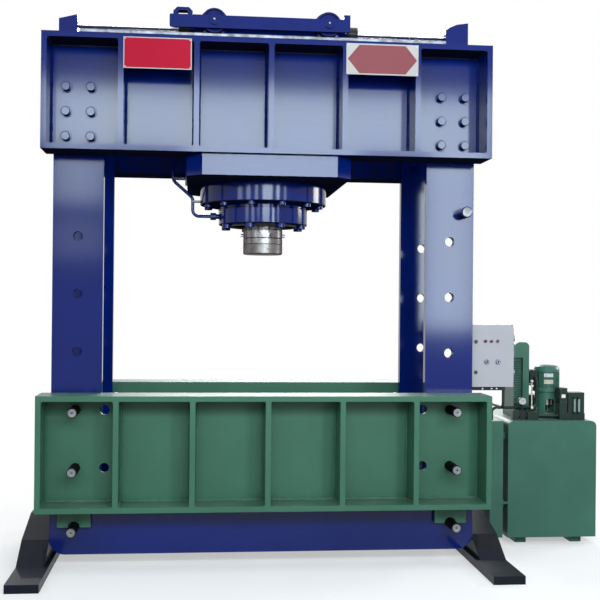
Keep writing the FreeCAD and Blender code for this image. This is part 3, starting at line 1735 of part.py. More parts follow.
def valve_bank():
    """Manifold with two valves and the sight tubes before them."""
    left, front = BANK
    manifold_top = f"({TANK_TOP} + bank_height)"
    depth = (front, f"{front} + bank_depth")
    manifold = box("valve_manifold", (left, f"{left} + bank_width"), depth, (TANK_TOP, manifold_top))
    first_height = (manifold_top, f"{manifold_top} + valve_one_height")
    first = box("valve_one", (left, f"{left} + valve_one_width"), depth, first_height)
    start = f"({left} + valve_one_width + valve_gap)"
    second_height = (manifold_top, f"{manifold_top} + valve_two_height")
    second = box("valve_two", (start, f"{start} + valve_two_width"), depth, second_height)
    tubes = []
    y = f"({front} - sight_gap)"
    for index, side in enumerate(LEFT_RIGHT):
        x = f"({start} + valve_two_width/2 + {side}*sight_spacing/2)"
        tube_start = (x, y, manifold_top)
        tubes.append(cylinder(f"sight_tube_{index}", "Z", tube_start, "sight_height", "sight_diameter"))
        for level, height in enumerate((manifold_top, f"{manifold_top} + sight_height - sight_clamp")):
            tubes.append(
                box(
                    f"sight_clamp_{index}_{level}",
                    (f"{x} - sight_clamp_width/2", f"{x} + sight_clamp_width/2"),
                    (f"{y} - sight_clamp_width/2", front),
                    (height, f"{height} + sight_clamp"),
                )
            )
    part(fuse("valve_bank", [manifold, first, second, *tubes]), "valve_bank")


LEVER_Z = f"({TANK_TOP} + lever_z)"
FITTING_X = f"({TANK_LEFT} + fitting_x)"
KNOB_ANGLES = (-54, -18, 18, 54)


def hand_valve():
    """Plumbing on the tank: hand valve block, pipes, fitting, return filter and filler neck."""
    x, y = LEVER
    block = box(
        "hand_valve_block",
        (f"{x} - hand_valve_width/2", f"{x} + hand_valve_width/2"),
        (f"{y} - hand_valve_depth/2", f"{y} + hand_valve_depth/2"),
        (TANK_TOP, f"{TANK_TOP} + hand_valve_height"),
    )
    ears = []
    ear_y = (f"{y} - lever_ear_depth/2", f"{y} + lever_ear_depth/2")
    ear_z = (f"{TANK_TOP} + hand_valve_height", f"{LEVER_Z} + lever_hub/2 + lever_ear_over")
    for index, side in enumerate(LEFT_RIGHT):
        ends = (f"{x} + {side}*lever_slot/2", f"{x} + {side}*(lever_slot/2 + lever_ear)")
        ears.append(box(f"hand_valve_ear_{index}", sorted(ends, key=number), ear_y, ear_z))
    pin_start = (f"{x} - lever_slot/2 - lever_ear", y, f"{LEVER_Z} + lever_hub/2")
    pin = cylinder("hand_valve_pin", "X", pin_start, "lever_slot + 2*lever_ear", "lever_rod")
    fitting = box(
        "tee_fitting",
        (f"{FITTING_X} - fitting_size/2", f"{FITTING_X} + fitting_size/2"),
        (f"{y} - fitting_size/2", f"{y} + fitting_size/2"),
        (TANK_TOP, f"{TANK_TOP} + fitting_height"),
    )
    gauge_x, gauge_y = GAUGE
    level = f"{TANK_TOP} + plumb_pipe"
    runs = (
        ("pressure_pipe", f"({FITTING_X} + fitting_size/2)", gauge_y, f"({gauge_x} - gauge_block/2)"),
        ("gauge_pipe", f"({gauge_x} + gauge_block/2)", gauge_y, f"({x} - hand_valve_width/2)"),
        ("supply_pipe", f"({x} + hand_valve_width/2)", y, BANK[0]),
    )
    pressure, link, supply = (
        cylinder(label, "X", (start, run_y, level), f"{end} - {start}", "plumb_pipe")
        for label, start, run_y, end in runs
    )
    pot = cylinder("return_filter_pot", "Z", (*FILTER, TANK_TOP), "filter_height", "filter_diameter")
    lid_start = (*FILTER, f"{TANK_TOP} + filter_height")
    lid = cylinder("return_filter_lid", "Z", lid_start, "filter_lid_height", "filter_lid")
    filler = (*FILLER, TANK_TOP)
    neck_out = cylinder("filler_neck_outer", "Z", filler, "filler_neck_height", "filler_neck")
    inside = "filler_neck - 2*filler_neck_wall"
    neck_in = cylinder("filler_neck_inner", "Z", filler, "filler_neck_height + cut_past", inside)
    pieces = [
        fuse("hand_valve_assembly", [block, *ears, pin, link, supply]),
        fuse("tee_assembly", [fitting, pressure]),
        fuse("return_filter", [pot, lid]),
        minus("filler_neck_ring", neck_out, [neck_in]),
    ]
    part(group("tank_fittings", pieces), "tank_fittings")


def valve_lever():
    """Hand lever on its pin, with a ball knob."""
    body = new_body("valve_lever", *LEVER, f"{LEVER_Z} + lever_hub/2")
    width = "(lever_slot/2 - lever_gap)"
    pad(body, "YZ", [("0", "0", "lever_hub"), ("0", "0", "lever_rod + 2*lever_fit")], f"-{width}", width)
    knob_z = "(lever_length - lever_knob/2)"
    pad(body, "XY", [("0", "0", "lever_rod")], "lever_hub/2 - lever_seat", knob_z)
    half = "lever_knob/2"
    ball = [(f"{half}*cos({angle})", f"{knob_z} + {half}*sin({angle})") for angle in KNOB_ANGLES]
    turn(body, "XZ", [("0", f"{knob_z} - {half}"), *ball, ("0", f"{knob_z} + {half}")], "V_Axis")


GAUGE_Z = f"({TANK_TOP} + gauge_z)"
DIAL = "(gauge_dial_in - gauge_depth/2)"


def pressure_gauge():
    """Gauge case, dial and pivot, on a stem above a small block."""
    body = new_body("pressure_gauge", *GAUGE, GAUGE_Z)
    case, inner = "gauge_diameter/2", "(gauge_diameter/2 - gauge_wall)"
    turn(
        body,
        "YZ",
        [
            (DIAL, "0"),
            ("gauge_depth/2", "0"),
            ("gauge_depth/2", f"{case} - gauge_round"),
            ("gauge_depth/2 - gauge_round", case),
            ("-gauge_depth/2", case),
            ("-gauge_depth/2", inner),
            (DIAL, inner),
        ],
        "H_Axis",
    )
    pad(body, "XZ", [("0", "0", "gauge_pivot")], f"{DIAL} - gauge_pivot_out", f"{DIAL} + gauge_pivot_sunk")
    pad(body, "XY", [("0", "0", "gauge_stem")], "gauge_block_height - gauge_z", f"gauge_round - {case}")
    block = rectangle(("-gauge_block/2", "gauge_block/2"), ("-gauge_block/2", "gauge_block/2"))
    pad(body, "XY", [block], "-gauge_z", "gauge_block_height - gauge_z")


def gauge_needle():
    """Pointer of the gauge on its pivot."""
    body = new_body("gauge_needle", *GAUGE, GAUGE_Z)
    near, far = f"{DIAL} - needle_lift - needle_plate", f"{DIAL} - needle_lift"
    pointer = [
        ("-needle_width/2", "-needle_tail"),
        ("needle_width/2", "-needle_tail"),
        ("needle_width/4", "needle_length"),
        ("-needle_width/4", "needle_length"),
    ]
    pad(body, "XZ", [pointer], near, far)
    pad(body, "XZ", [("0", "0", "needle_hub")], near, far)
    hole = ("0", "0", "gauge_pivot + 2*needle_fit")
    pocket(body, "XZ", [hole], f"{near} - cut_past", f"{far} + cut_past")
    turned = FreeCAD.Rotation(FreeCAD.Vector(0, -1, 0), NEEDLE_REST)
    body.Placement = FreeCAD.Placement(body.Placement.Base, turned)


def filler_cap():
    """Breather cap whose skirt fits over the filler neck."""
    body = new_body("filler_cap", *FILLER, f"{TANK_TOP} + filler_neck_height")
    outer = "filler_cap/2"
    neck = "(filler_neck/2 + filler_cap_fit)"
    turn(
        body,
        "XZ",
        [
            ("0", "filler_cap_gap"),
            (neck, "filler_cap_gap"),
            (neck, "-filler_cap_skirt"),
            (f"{neck} + filler_cap_wall", "-filler_cap_skirt"),
            (f"{neck} + filler_cap_wall", "0"),
            (outer, "filler_cap_flare"),
            (outer, "filler_cap_height - filler_cap_round"),
            (f"{outer} - filler_cap_bevel", "filler_cap_height - filler_cap_bevel"),
            (f"{outer} - filler_cap_round", "filler_cap_height"),
            ("0", "filler_cap_height"),
        ],
        "V_Axis",
    )


# --------------------------------------------------------------------------- control cabinet

CABINET_LEFT = f"({COLUMN_OUT} + cabinet_gap)"
CABINET_RIGHT = f"({CABINET_LEFT} + cabinet_width)"
CABINET_TOP = "(cabinet_bottom + cabinet_height)"
CABINET_FRONT = f"(cabinet_step - {FACE})"
DOOR_BACK = f"({CABINET_FRONT} + door_depth)"
BOX_FRONT = f"({DOOR_BACK} + door_gap)"
BOX_BACK = f"({CABINET_FRONT} + cabinet_depth)"
CABLE = (f"({CABINET_LEFT} + cable_gland_x)", f"({CABINET_FRONT} + cable_y)")


def cabinet_arms():
    """Two angled arms from the inside of the column plate to the side of the cabinet."""
    arms = []
    web = (f"{CABINET_LEFT} - arm_spacer - arm_plate", f"{CABINET_LEFT} - arm_spacer")
    inside, arm_back = f"-{PLATE_BACK}", f"({BOX_FRONT} + arm_depth)"
    for level, low in (
        ("lower", "cabinet_bottom + arm_inset"),
        ("upper", f"{CABINET_TOP} - arm_inset - arm_height"),
    ):
        height = (low, f"{low} + arm_height")
        plates = (
            ("tongue", (f"{COLUMN_OUT} - arm_overlap", web[1]), (inside, f"{inside} + arm_plate")),
            ("web", web, (inside, arm_back)),
            ("spacer", (web[1], CABINET_LEFT), (f"{BOX_FRONT} + door_gap", arm_back)),
        )
        for name, x, y in plates:
            arms.append(box(f"cabinet_arm_{level}_{name}", x, y, height))
    return arms


def cabinet_hinges():
    """Lower halves of the two hinges, with their pins."""
    pieces = []
    hinge_x = f"({CABINET_RIGHT} + hinge_out)"
    half = "(hinge_height/2 - hinge_gap)"
    leaf_y = f"({BOX_FRONT} + hinge_pin/2)"
    for level, low in (
        ("lower", "(cabinet_bottom + hinge_inset)"),
        ("upper", f"({CABINET_TOP} - hinge_inset - hinge_height)"),
    ):
        foot = (hinge_x, BOX_FRONT, low)
        leaf = box(
            f"hinge_leaf_{level}",
            (f"{CABINET_RIGHT} - cabinet_wall", hinge_x),
            (leaf_y, f"{leaf_y} + hinge_leaf"),
            (low, f"{low} + {half}"),
        )
        knuckle = cylinder(f"hinge_knuckle_{level}", "Z", foot, half, "hinge_diameter")
        pin = cylinder(f"hinge_pin_{level}", "Z", foot, "hinge_height - hinge_pin_end", "hinge_pin")
        pieces += [leaf, knuckle, pin]
    return pieces


def cabinet_box():
    """Sheet-steel box open to the front, held by two angled arms on the inside of the column plate."""
    across, depth = (CABINET_LEFT, CABINET_RIGHT), (BOX_FRONT, BOX_BACK)
    outer = box("cabinet_shell", across, depth, ("cabinet_bottom", CABINET_TOP))
    room = box(
        "cabinet_room",
        (f"{CABINET_LEFT} + cabinet_wall", f"{CABINET_RIGHT} - cabinet_wall"),
        (f"{BOX_FRONT} + cabinet_wall", f"{BOX_BACK} - cabinet_wall"),
        ("cabinet_bottom + cabinet_wall", f"{CABINET_TOP} - cabinet_wall"),
    )
    mouth = box(
        "cabinet_mouth",
        (f"{CABINET_LEFT} + cabinet_lip", f"{CABINET_RIGHT} - cabinet_lip"),
        (f"{BOX_FRONT} - cut_past", f"{BOX_FRONT} + cabinet_wall + cut_past"),
        ("cabinet_bottom + cabinet_lip", f"{CABINET_TOP} - cabinet_lip"),
    )
    shell = minus("cabinet_hollow", outer, [room, mouth])
    knob_at = (f"({CABINET_FRONT} + knob_y)", "(cabinet_bottom + knob_z)")
    plate = box(
        "knob_plate",
        (CABINET_RIGHT, f"{CABINET_RIGHT} + knob_plate_height"),
        (f"{knob_at[0]} - knob_plate/2", f"{knob_at[0]} + knob_plate/2"),
        (f"{knob_at[1]} - knob_plate/2", f"{knob_at[1]} + knob_plate/2"),
    )
    bore = cylinder(
        "knob_bore",
        "X",
        (f"{CABINET_RIGHT} - knob_bore_in", *knob_at),
        "knob_bore_in + knob_plate_height + cut_past",
        "knob_shaft + 2*latch_fit",
    )
    gland_foot = (*CABLE, "cabinet_bottom - cable_gland_height")
    gland = cylinder("cable_gland", "Z", gland_foot, "cable_gland_height", "cable_gland")
    whole = fuse("cabinet_whole", [shell, *cabinet_arms(), *cabinet_hinges(), plate, gland])
    part(minus("cabinet_box", whole, [bore]), "cabinet_box")


def cabinet_door():
    """Folded door with lamps, button bezels and its half of the hinges."""
    body = new_body("cabinet_door", CABINET_LEFT, "0", "cabinet_bottom")
    front, back = CABINET_FRONT, DOOR_BACK
    skin = f"{front} + door_plate"
    pad(body, "XZ", [rectangle(("0", "cabinet_width"), ("0", "cabinet_height"))], front, back)
    soften(
        body,
        "Fillet",
        "cabinet_round",
        lambda e: straight_along(e, 1)
        and middle(e).z > number("cabinet_height") - NEAR
        and middle(e).x > number("cabinet_width") - NEAR,
    )
    inside = rectangle(
        ("door_plate", "cabinet_width - door_plate - door_corner_room"),
        ("door_plate", "cabinet_height - door_plate - door_corner_room"),
    )
    pocket(body, "XZ", [inside], skin, f"{back} + cut_past")
    for index in range(LAMP_COUNT):
        x = f"lamp_first_x + {index}*lamp_pitch"
        pad(body, "XZ", [(x, "lamp_z", "lamp_diameter")], f"{front} - lamp_height", front)
    buttons = ("button_left_x", "button_right_x")
    bezels = [(x, "button_z", "button_bezel") for x in buttons]
    pad(body, "XZ", bezels, f"{front} - button_bezel_height", front)
    holes = [(x, "button_z", "button_cap + 2*button_fit") for x in buttons]
    pocket(body, "XZ", holes, f"{front} - button_bezel_height - cut_past", f"{skin} + cut_past")
    shafts = [("latch_x", z, "latch_shaft + 2*latch_fit") for z in ("latch_upper_z", "latch_lower_z")]
    pocket(body, "XZ", shafts, f"{front} - cut_past", f"{skin} + cut_past")
    hinge_x = "(cabinet_width + hinge_out)"
    leaf_back = f"({BOX_FRONT} - hinge_pin/2 - hinge_fit - hinge_leaf_gap)"
    leaf = rectangle(("cabinet_width - door_plate", hinge_x), (f"{leaf_back} - hinge_leaf", leaf_back))
    knuckle_low = ("hinge_inset", "(cabinet_height - hinge_inset - hinge_height)")
    for low in knuckle_low:
        start, end = f"{low} + hinge_height/2", f"{low} + hinge_height"
        pad(body, "XY", [leaf], start, end)
        pad(body, "XY", [(hinge_x, BOX_FRONT, "hinge_diameter")], start, end)
    bore = (hinge_x, BOX_FRONT, "hinge_pin + 2*hinge_fit")
    for low in knuckle_low:
        pocket(body, "XY", [bore], f"{low} + hinge_height/2 - cut_past", f"{low} + hinge_height + cut_past")


def cabinet_latch(label, height):
    """Quarter-turn latch: knob with a wing, shaft through the door and a cam behind it."""
    body = new_body(label, f"{CABINET_LEFT} + latch_x", CABINET_FRONT, f"cabinet_bottom + {height}")
    cam = "(door_depth + door_gap + cabinet_wall + latch_cam_gap)"
    base, step, tip = "-latch_lift", "-latch_lift - latch_knob_height/2", "-latch_lift - latch_knob_height"
    wing = rectangle(
        ("-latch_wing/2", "latch_wing/2"),
        ("-latch_wing_length/2", "latch_wing_length/2"),
    )
    arm = rectangle(
        ("-latch_cam_width/2", "latch_cam_width/2"),
        ("-latch_cam_width/2", "latch_cam_length"),
    )
    pad(body, "XZ", [("0", "0", "latch_knob")], step, base)
    pad(body, "XZ", [wing], tip, step)
    pad(body, "XZ", [("0", "0", "latch_shaft")], base, cam)
    pad(body, "XZ", [arm], cam, f"{cam} + latch_cam_plate")


def cabinet_button(label, place_x):
    """Push button that slides in its bezel."""
    body = new_body(label, f"{CABINET_LEFT} + {place_x}", CABINET_FRONT, "cabinet_bottom + button_z")
    tip = "-button_bezel_height - button_cap_out"
    collar = ("(door_plate + button_gap)", "(door_plate + button_collar_height)")
    cap = "button_cap/2"
    turn(
        body,
        "YZ",
        [
            (tip, "0"),
            (collar[1], "0"),
            (collar[1], f"{cap} + button_collar"),
            (collar[0], f"{cap} + button_collar"),
            (collar[0], cap),
            (f"{tip} + button_round", cap),
            (tip, f"{cap} - button_round"),
        ],
        "H_Axis",
    )


def cabinet_knob():
    """Main switch knob on the cabinet's right side, with a grip bar."""
    body = new_body("cabinet_knob", CABINET_RIGHT, f"{CABINET_FRONT} + knob_y", "cabinet_bottom + knob_z")
    plate = "(knob_plate_height + knob_lift)"
    grip = rectangle(("-knob_grip/2", "knob_grip/2"), ("-knob_diameter/2", "knob_diameter/2"))
    pad(body, "YZ", [("0", "0", "knob_diameter")], plate, f"{plate} + knob_height/2")
    pad(body, "YZ", [grip], f"{plate} + knob_height/2", f"{plate} + knob_height")
    pad(body, "YZ", [("0", "0", "knob_shaft")], "-knob_shaft_in", plate)


def power_conduits():
    """Bent steel conduits from the cabinet down to the duct, and from the duct to the motor."""
    duct = (f"({DUCT_LEFT} + conduit_entry)", "(tank_front + conduit_in)")
    low = "(cabinet_bottom - cable_gland_height)"
    level = f"(({low} + {TANK_TOP})/2)"
    supply = [(*CABLE, low), (*CABLE, level), (*duct, level), (*duct, TANK_TOP)]
    start = (f"({DUCT_LEFT} + conduit_leave)", f"({COOLER[1]} - conduit_room)")
    entry = (
        f"({MOTOR[0]} - motor_diameter/2 - terminal_entry)",
        f"({MOTOR[1]} - terminal_depth/2)",
        f"({BELL_TOP} + terminal_z + terminal_height/2)",
    )
    along = f"({TANK_TOP} + conduit_rise)"
    motor = [
        (*start, TANK_TOP),
        (*start, along),
        (entry[0], start[1], along),
        (entry[0], start[1], entry[2]),
        entry,
    ]
    runs = [
        route("supply_conduit", supply, "conduit_diameter", "conduit_bend"),
        route("motor_conduit", motor, "conduit_diameter", "conduit_bend"),
    ]
    part(group("power_conduits", runs), "power_conduits")


# ------------------------------------------------------------------------------ whole machine


def build():
    column("column_left", -1)
    right_column()
    for label, side in (("head_girder_front", -1), ("head_girder_rear", 1)):
        head_girder(label, side)
    for label, side in (("bed_girder_front", -1), ("bed_girder_rear", 1)):
        bed_girder(label, side)
    head_bolts()
    head_spacers()
    lower_ties()
    for label, side in (("foot_left", -1), ("foot_right", 1)):
        foot(label, side)
    bed_cross_plates()
    for side_name, side in (("left", -1), ("right", 1)):
        for level_name, level in (("low", 0), ("middle", 1), ("high", 2)):
            bed_pin(f"bed_pin_{side_name}_{level_name}", side, level)
    sign_plates()
    rails()
    traverse_posts()
    traverse_rod()
    traverse_barrel()
    for end_name, end in (("left", -1), ("right", 1)):
        for side_name, side in (("front", -1), ("rear", 1)):
            wheel(f"wheel_{end_name}_{side_name}", end, side)
    carriage_cheeks()
    carriage_frame()
    wheel_axles()
    reaction_slab()
    cylinder_barrel()
    cylinder_cap()
    cylinder_gland()
    cylinder_bolts()
    ram()
    ram_nose()
    ram_screws()
    return_pipe()
    tank()
    side_duct()
    cooler_housing()
    bell_housing()
    motor_housing()
    motor_rotor()
    terminal_box()
    valve_bank()
    hand_valve()
    valve_lever()
    pressure_gauge()
    gauge_needle()
    filler_cap()
    cabinet_box()
    cabinet_door()
    cabinet_latch("cabinet_latch_upper", "latch_upper_z")
    cabinet_latch("cabinet_latch_lower", "latch_lower_z")
    cabinet_button("cabinet_button_left", "button_left_x")
    cabinet_button("cabinet_button_right", "button_right_x")
    cabinet_knob()
    power_conduits()


def check():
    """Stops if any object failed, any cut took nothing away, or any sub-part is not a good solid."""
    for item in document.Objects:
        if {"Invalid", "Error"} & set(item.State):
            raise RuntimeError(f"{item.Label} is {item.State}")
        if item.TypeId in ("PartDesign::Pocket", "PartDesign::Groove"):
            if item.Shape.Volume > item.BaseFeature.Shape.Volume - 1:
                raise RuntimeError(f"{item.Label} cuts nothing")
    for item in made:
        if item.Shape.isNull() or not item.Shape.isValid() or not item.Shape.Solids:
            raise RuntimeError(f"{item.Label} has no valid solid")


def write():
    os.makedirs("parts", exist_ok=True)
    for item in made:
        item.Shape.exportStep(f"parts/{item.Label}.step")


fill_sheet()
build()
document.recompute()
check()
write()
print(len(made), "sub-parts written")
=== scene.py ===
"""Looks of a two-column hydraulic workshop press, built round its packed construction.

The frame is the construction's own: X along the press to the viewer's right, Y from its front to
its back, Z up, with the floor at zero. The stage is given in metres, and the added pieces in
millimetres from the press's centre line.
"""

import logging
import math
import random
from dataclasses import dataclass, replace
from enum import Enum
from typing import Callable, Iterable, Sequence

import bmesh
import bpy
from mathutils import Matrix, Vector


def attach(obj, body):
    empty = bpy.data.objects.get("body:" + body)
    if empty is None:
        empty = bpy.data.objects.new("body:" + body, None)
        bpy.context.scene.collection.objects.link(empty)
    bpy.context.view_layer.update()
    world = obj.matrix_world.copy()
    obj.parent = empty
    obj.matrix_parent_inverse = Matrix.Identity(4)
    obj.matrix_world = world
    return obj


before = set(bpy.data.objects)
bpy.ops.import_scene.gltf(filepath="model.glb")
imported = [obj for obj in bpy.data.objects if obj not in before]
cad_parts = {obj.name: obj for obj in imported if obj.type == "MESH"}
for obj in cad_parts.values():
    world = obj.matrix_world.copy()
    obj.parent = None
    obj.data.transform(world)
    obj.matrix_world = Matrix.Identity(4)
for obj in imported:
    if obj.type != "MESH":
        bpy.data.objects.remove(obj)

LOG = logging.getLogger("press")
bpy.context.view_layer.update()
Colour = tuple[float, float, float]
Point = tuple[float, float, float]
Pair = tuple[float, float]
Row = Sequence[float]
Profile = Sequence[Pair]
Sides = Sequence[Pair]
Node = bpy.types.Node
Socket = bpy.types.NodeSocket
Outputs = bpy.types.NodeOutputs

PER_METRE = 1000
CENTRE_X = -0.372
ROUND_SIDES = 40
SHARP_NODE, SHARP_PIECE, BEVELLED = (math.radians(angle) for angle in (32, 38, 40))
BEAD_STEP = 8
LEG_SPREAD, CROWN_SPREAD = (0.82, 1.14), (0.54, 0.66)
ROOT_SINK, TOE_SINK = 0.6, 0.4
WHITE = (1.0, 1.0, 1.0)
RAYS = ("Is Camera Ray", "Is Glossy Ray", "Is Transmission Ray")


class Axis(Enum):
    """The axis that a turned shape runs along."""

    X = 0
    Y = 1
    Z = 2


def millimetres(x: float, y: float, z: float) -> Vector:
    """A point given in millimetres from the press's centre line, in the frame's metres."""
    return Vector((x / PER_METRE + CENTRE_X, y / PER_METRE, z / PER_METRE))


# ---- shader graphs


class Graph:
    """Adds nodes to one material, world or group and joins them."""

    def __init__(self, tree: bpy.types.NodeTree) -> None:
        """Starts on a node tree, and empties it."""
        self.tree = tree
        tree.nodes.clear()

    def add(self, kind: str, inputs: dict | None = None, **settings: object) -> Node:
        """Makes a node.

        Args:
            kind: The node's type name, without its ShaderNode prefix.
            inputs: What feeds its inputs, by their name or place.
            settings: Properties to set on it.

        Returns:
            The new node.
        """
        node = self.tree.nodes.new(f"ShaderNode{kind}")
        for name, value in settings.items():
            setattr(node, name, value)
        for key, value in (inputs or {}).items():
            self.feed(node.inputs[key], value)
        return node

    def feed(self, socket: Socket, value: object) -> None:
        """Links a socket, or sets its plain value.

        Args:
            socket: The input to feed.
            value: An output, a node for its first output, a number, or a tuple.
        """
        if isinstance(value, Node):
            value = value.outputs[0]
        if isinstance(value, Socket):
            self.tree.links.new(value, socket)
        elif isinstance(value, tuple) and socket.type == "RGBA":
            socket.default_value = (*value, 1.0)
        else:
            socket.default_value = value

    def math(self, operation: str, *values: object, clamp: bool = False) -> Socket:
        """One step of arithmetic, kept between 0 and 1 if clamped."""
        return self.add("Math", dict(enumerate(values)), operation=operation, use_clamp=clamp).outputs[0]

    def blend(self, factor: object, first: object, second: object) -> Socket:
        """Mixes two colours by the share of the second."""
        return self.add("Mix", {0: factor, 6: first, 7: second}, data_type="RGBA").outputs[2]

    def span(self, value: object, low: float, high: float, start: float = 0.0, end: float = 1.0) -> Socket:
        """Maps a value from the range low to high onto start to end, smoothly and clamped."""
        ends = dict(enumerate((value, low, high, start, end)))
        return self.add("MapRange", ends, interpolation_type="SMOOTHSTEP").outputs[0]

    def noise(self, scale: float, detail: float, rough: float = 0.5, stretch: Point = (1, 1, 1)) -> Socket:
        """Noise: its scale per metre, octaves, strength of the fine ones, and stretch for each axis."""
        place = self.add("Mapping", {"Vector": self.add("TexCoord").outputs["Object"], "Scale": stretch})
        return self.add("TexNoise", {0: place, 2: scale, 3: detail, 4: rough}).outputs[0]


@dataclass(frozen=True)
class Effect:
    """A shader effect that several finishes share: its node group's name, its inputs with their
    usual values, its outputs, and the function that fills it."""

    name: str
    inputs: dict[str, float]
    outputs: Sequence[str]
    fill: Callable[[Graph, Outputs], list[Socket]]

    def tree(self) -> bpy.types.NodeTree:
        """Makes the node group when it is first used.

        Returns:
            The group.
        """
        tree = bpy.data.node_groups.get(self.name)
        if tree is None:
            tree = bpy.data.node_groups.new(self.name, "ShaderNodeTree")
            for name, value in self.inputs.items():
                socket = tree.interface.new_socket(name, in_out="INPUT", socket_type="NodeSocketFloat")
                socket.default_value = value
            for name in self.outputs:
                tree.interface.new_socket(name, in_out="OUTPUT", socket_type="NodeSocketFloat")
            graph = Graph(tree)
            start, end = tree.nodes.new("NodeGroupInput"), tree.nodes.new("NodeGroupOutput")
            for socket, result in zip(end.inputs, self.fill(graph, start.outputs)):
                graph.feed(socket, result)
        return tree

    def place(self, graph: Graph, **inputs: float) -> Outputs:
        """Puts the effect into a material with its own inputs, and gives its outputs."""
        return graph.add("Group", inputs, node_tree=self.tree()).outputs


def edge_wear_nodes(g: Graph, given: Outputs) -> list[Socket]:
    """Rubbed paint along outer edges, broken up by noise.

    Args:
        g: The group's graph.
        given: Its inputs: radius and amount.

    Returns:
        The mask.
    """
    bevel = g.add("Bevel", {"Radius": given["Radius"]}, samples=4)
    normal = g.add("NewGeometry").outputs["Normal"]
    facing = g.add("VectorMath", {0: bevel, 1: normal}, operation="DOT_PRODUCT").outputs["Value"]
    edge = g.span(g.math("SUBTRACT", 1.0, facing), 0.015, 0.16)
    hollow = g.add("AmbientOcclusion", {"Distance": 0.02}, samples=4)
    open_side = g.span(hollow.outputs["AO"], 0.8, 0.97)
    patches = g.span(g.noise(9.0, 5.0, 0.62), 0.5, 0.72)
    fine = g.span(g.noise(140.0, 3.0, 0.6), 0.42, 0.6)
    rubbed = g.math("MULTIPLY", g.math("MULTIPLY", edge, open_side), g.math("MULTIPLY", patches, fine))
    return [g.math("MULTIPLY", rubbed, given["Amount"], clamp=True)]


def grime_and_shade_nodes(g: Graph, given: Outputs) -> list[Socket]:
    """Dust on ledges, dirt and painted shade in inner corners, and painted shade on undersides.

    Args:
        g: The group's graph.
        given: Its inputs: dust, the strength of dirt and painted shade in corners, and reach.

    Returns:
        The dust mask, the mask of dirt and painted shade in corners, and the mask of undersides, where
        shade is painted.
    """
    upward = g.add("SeparateXYZ", {0: g.add("NewGeometry").outputs["Normal"]}).outputs["Z"]
    ledge = g.span(upward, 0.35, 0.95)
    clouds = g.span(g.noise(4.5, 6.0, 0.65), 0.32, 0.7)
    dust = g.math("MULTIPLY", g.math("MULTIPLY", ledge, clouds), given["Dust"], clamp=True)
    # Dirt and painted shade: occlusion darkens inner corners, broken up by streaks.
    corner = g.add("AmbientOcclusion", {"Distance": given["Reach"]}, samples=6)
    inner = g.span(corner.outputs["AO"], 0.78, 0.3)
    streaks = g.span(g.noise(1.0, 4.0, 0.6, (30.0, 30.0, 4.0)), 0.35, 0.65)
    dirt_and_shade = g.math("MULTIPLY", g.math("MULTIPLY", inner, streaks), given["Dirt"], clamp=True)
    # Faces turned downwards: the mask of painted shade on undersides, which also dulls their gloss.
    return [dust, dirt_and_shade, g.span(upward, -0.35, -0.8)]


def paint_film_nodes(g: Graph, given: Outputs) -> list[Socket]:
    """Height of a brushed or sprayed paint film: slow waves of the plate and fine orange peel.

    Args:
        g: The group's graph.
        given: Its inputs: waves and peel.

    Returns:
        The height, and a slow cloud for colour and gloss.
    """
    slow = g.noise(2.2, 2.0, 0.45)
    brushed = g.noise(1.0, 1.6, 0.42, (5.0, 9.0, 22.0))
    fine = g.noise(420.0, 2.0, 0.5)
    waves = g.math("MULTIPLY", g.math("ADD", slow, g.math("MULTIPLY", brushed, 0.22)), given["Waves"])
    height = g.math("ADD", waves, g.math("MULTIPLY", fine, given["Peel"]))
    return [height, g.span(g.noise(1.3, 5.0, 0.6), 0.3, 0.7)]


def tooling_nodes(g: Graph, given: Outputs) -> list[Socket]:
    """Fine parallel tool marks, with their spacing stated for each axis.

    Args:
        g: The group's graph.
        given: Its inputs: the scale along X, Y and Z.

    Returns:
        The marks, and stains for the gloss.
    """
    scale = g.add("CombineXYZ", {axis: given[axis] for axis in "XYZ"})
    place = g.add("TexCoord").outputs["Object"]
    placed = g.add("VectorMath", {0: place, 1: scale}, operation="MULTIPLY")
    marks = g.add("TexNoise", {"Vector": placed, "Scale": 1.0, "Detail": 2.0})
    return [marks.outputs[0], g.span(g.noise(16.0, 5.0, 0.62), 0.35, 0.7)]


EDGE_WEAR = Effect("edge_wear", {"Radius": 0.004, "Amount": 1.0}, ("Mask",), edge_wear_nodes)
GRIME_AND_SHADE = Effect("grime_and_shade", {"Dust": 0.5, "Dirt": 0.5, "Reach": 0.05}, ("Dust", "Dirt", "Under"), grime_and_shade_nodes)
PAINT_FILM = Effect("paint_film", {"Waves": 1.0, "Peel": 0.02}, ("Height", "Clouds"), paint_film_nodes)
TOOLING = Effect("tooling", {"X": 3.0, "Y": 3.0, "Z": 900.0}, ("Marks", "Stains"), tooling_nodes)


# ---- finishes


class Surface(Graph):
    """The graph of one material, with its shader."""

    def __init__(self, tree: bpy.types.NodeTree) -> None:
        """Starts on a material's node tree.

        Args:
            tree: The tree.
        """
        super().__init__(tree)
        self.shader = self.add("BsdfPrincipled")
        self.add("OutputMaterial", {"Surface": self.shader})

    def fill(self, inputs: dict[str, object]) -> None:
        """Feeds the shader's own inputs by name."""
        for name, value in inputs.items():
            self.feed(self.shader.inputs[name], value)

    def relief(self, height: Socket, depth: float, edge: float) -> None:
        """Gives the shader a bump, its depth in metres, over edges rounded to a radius."""
        rounded = self.add("Bevel", {"Radius": edge}, samples=4)
        self.fill({"Normal": self.add("Bump", {"Distance": depth, "Height": height, "Normal": rounded})})


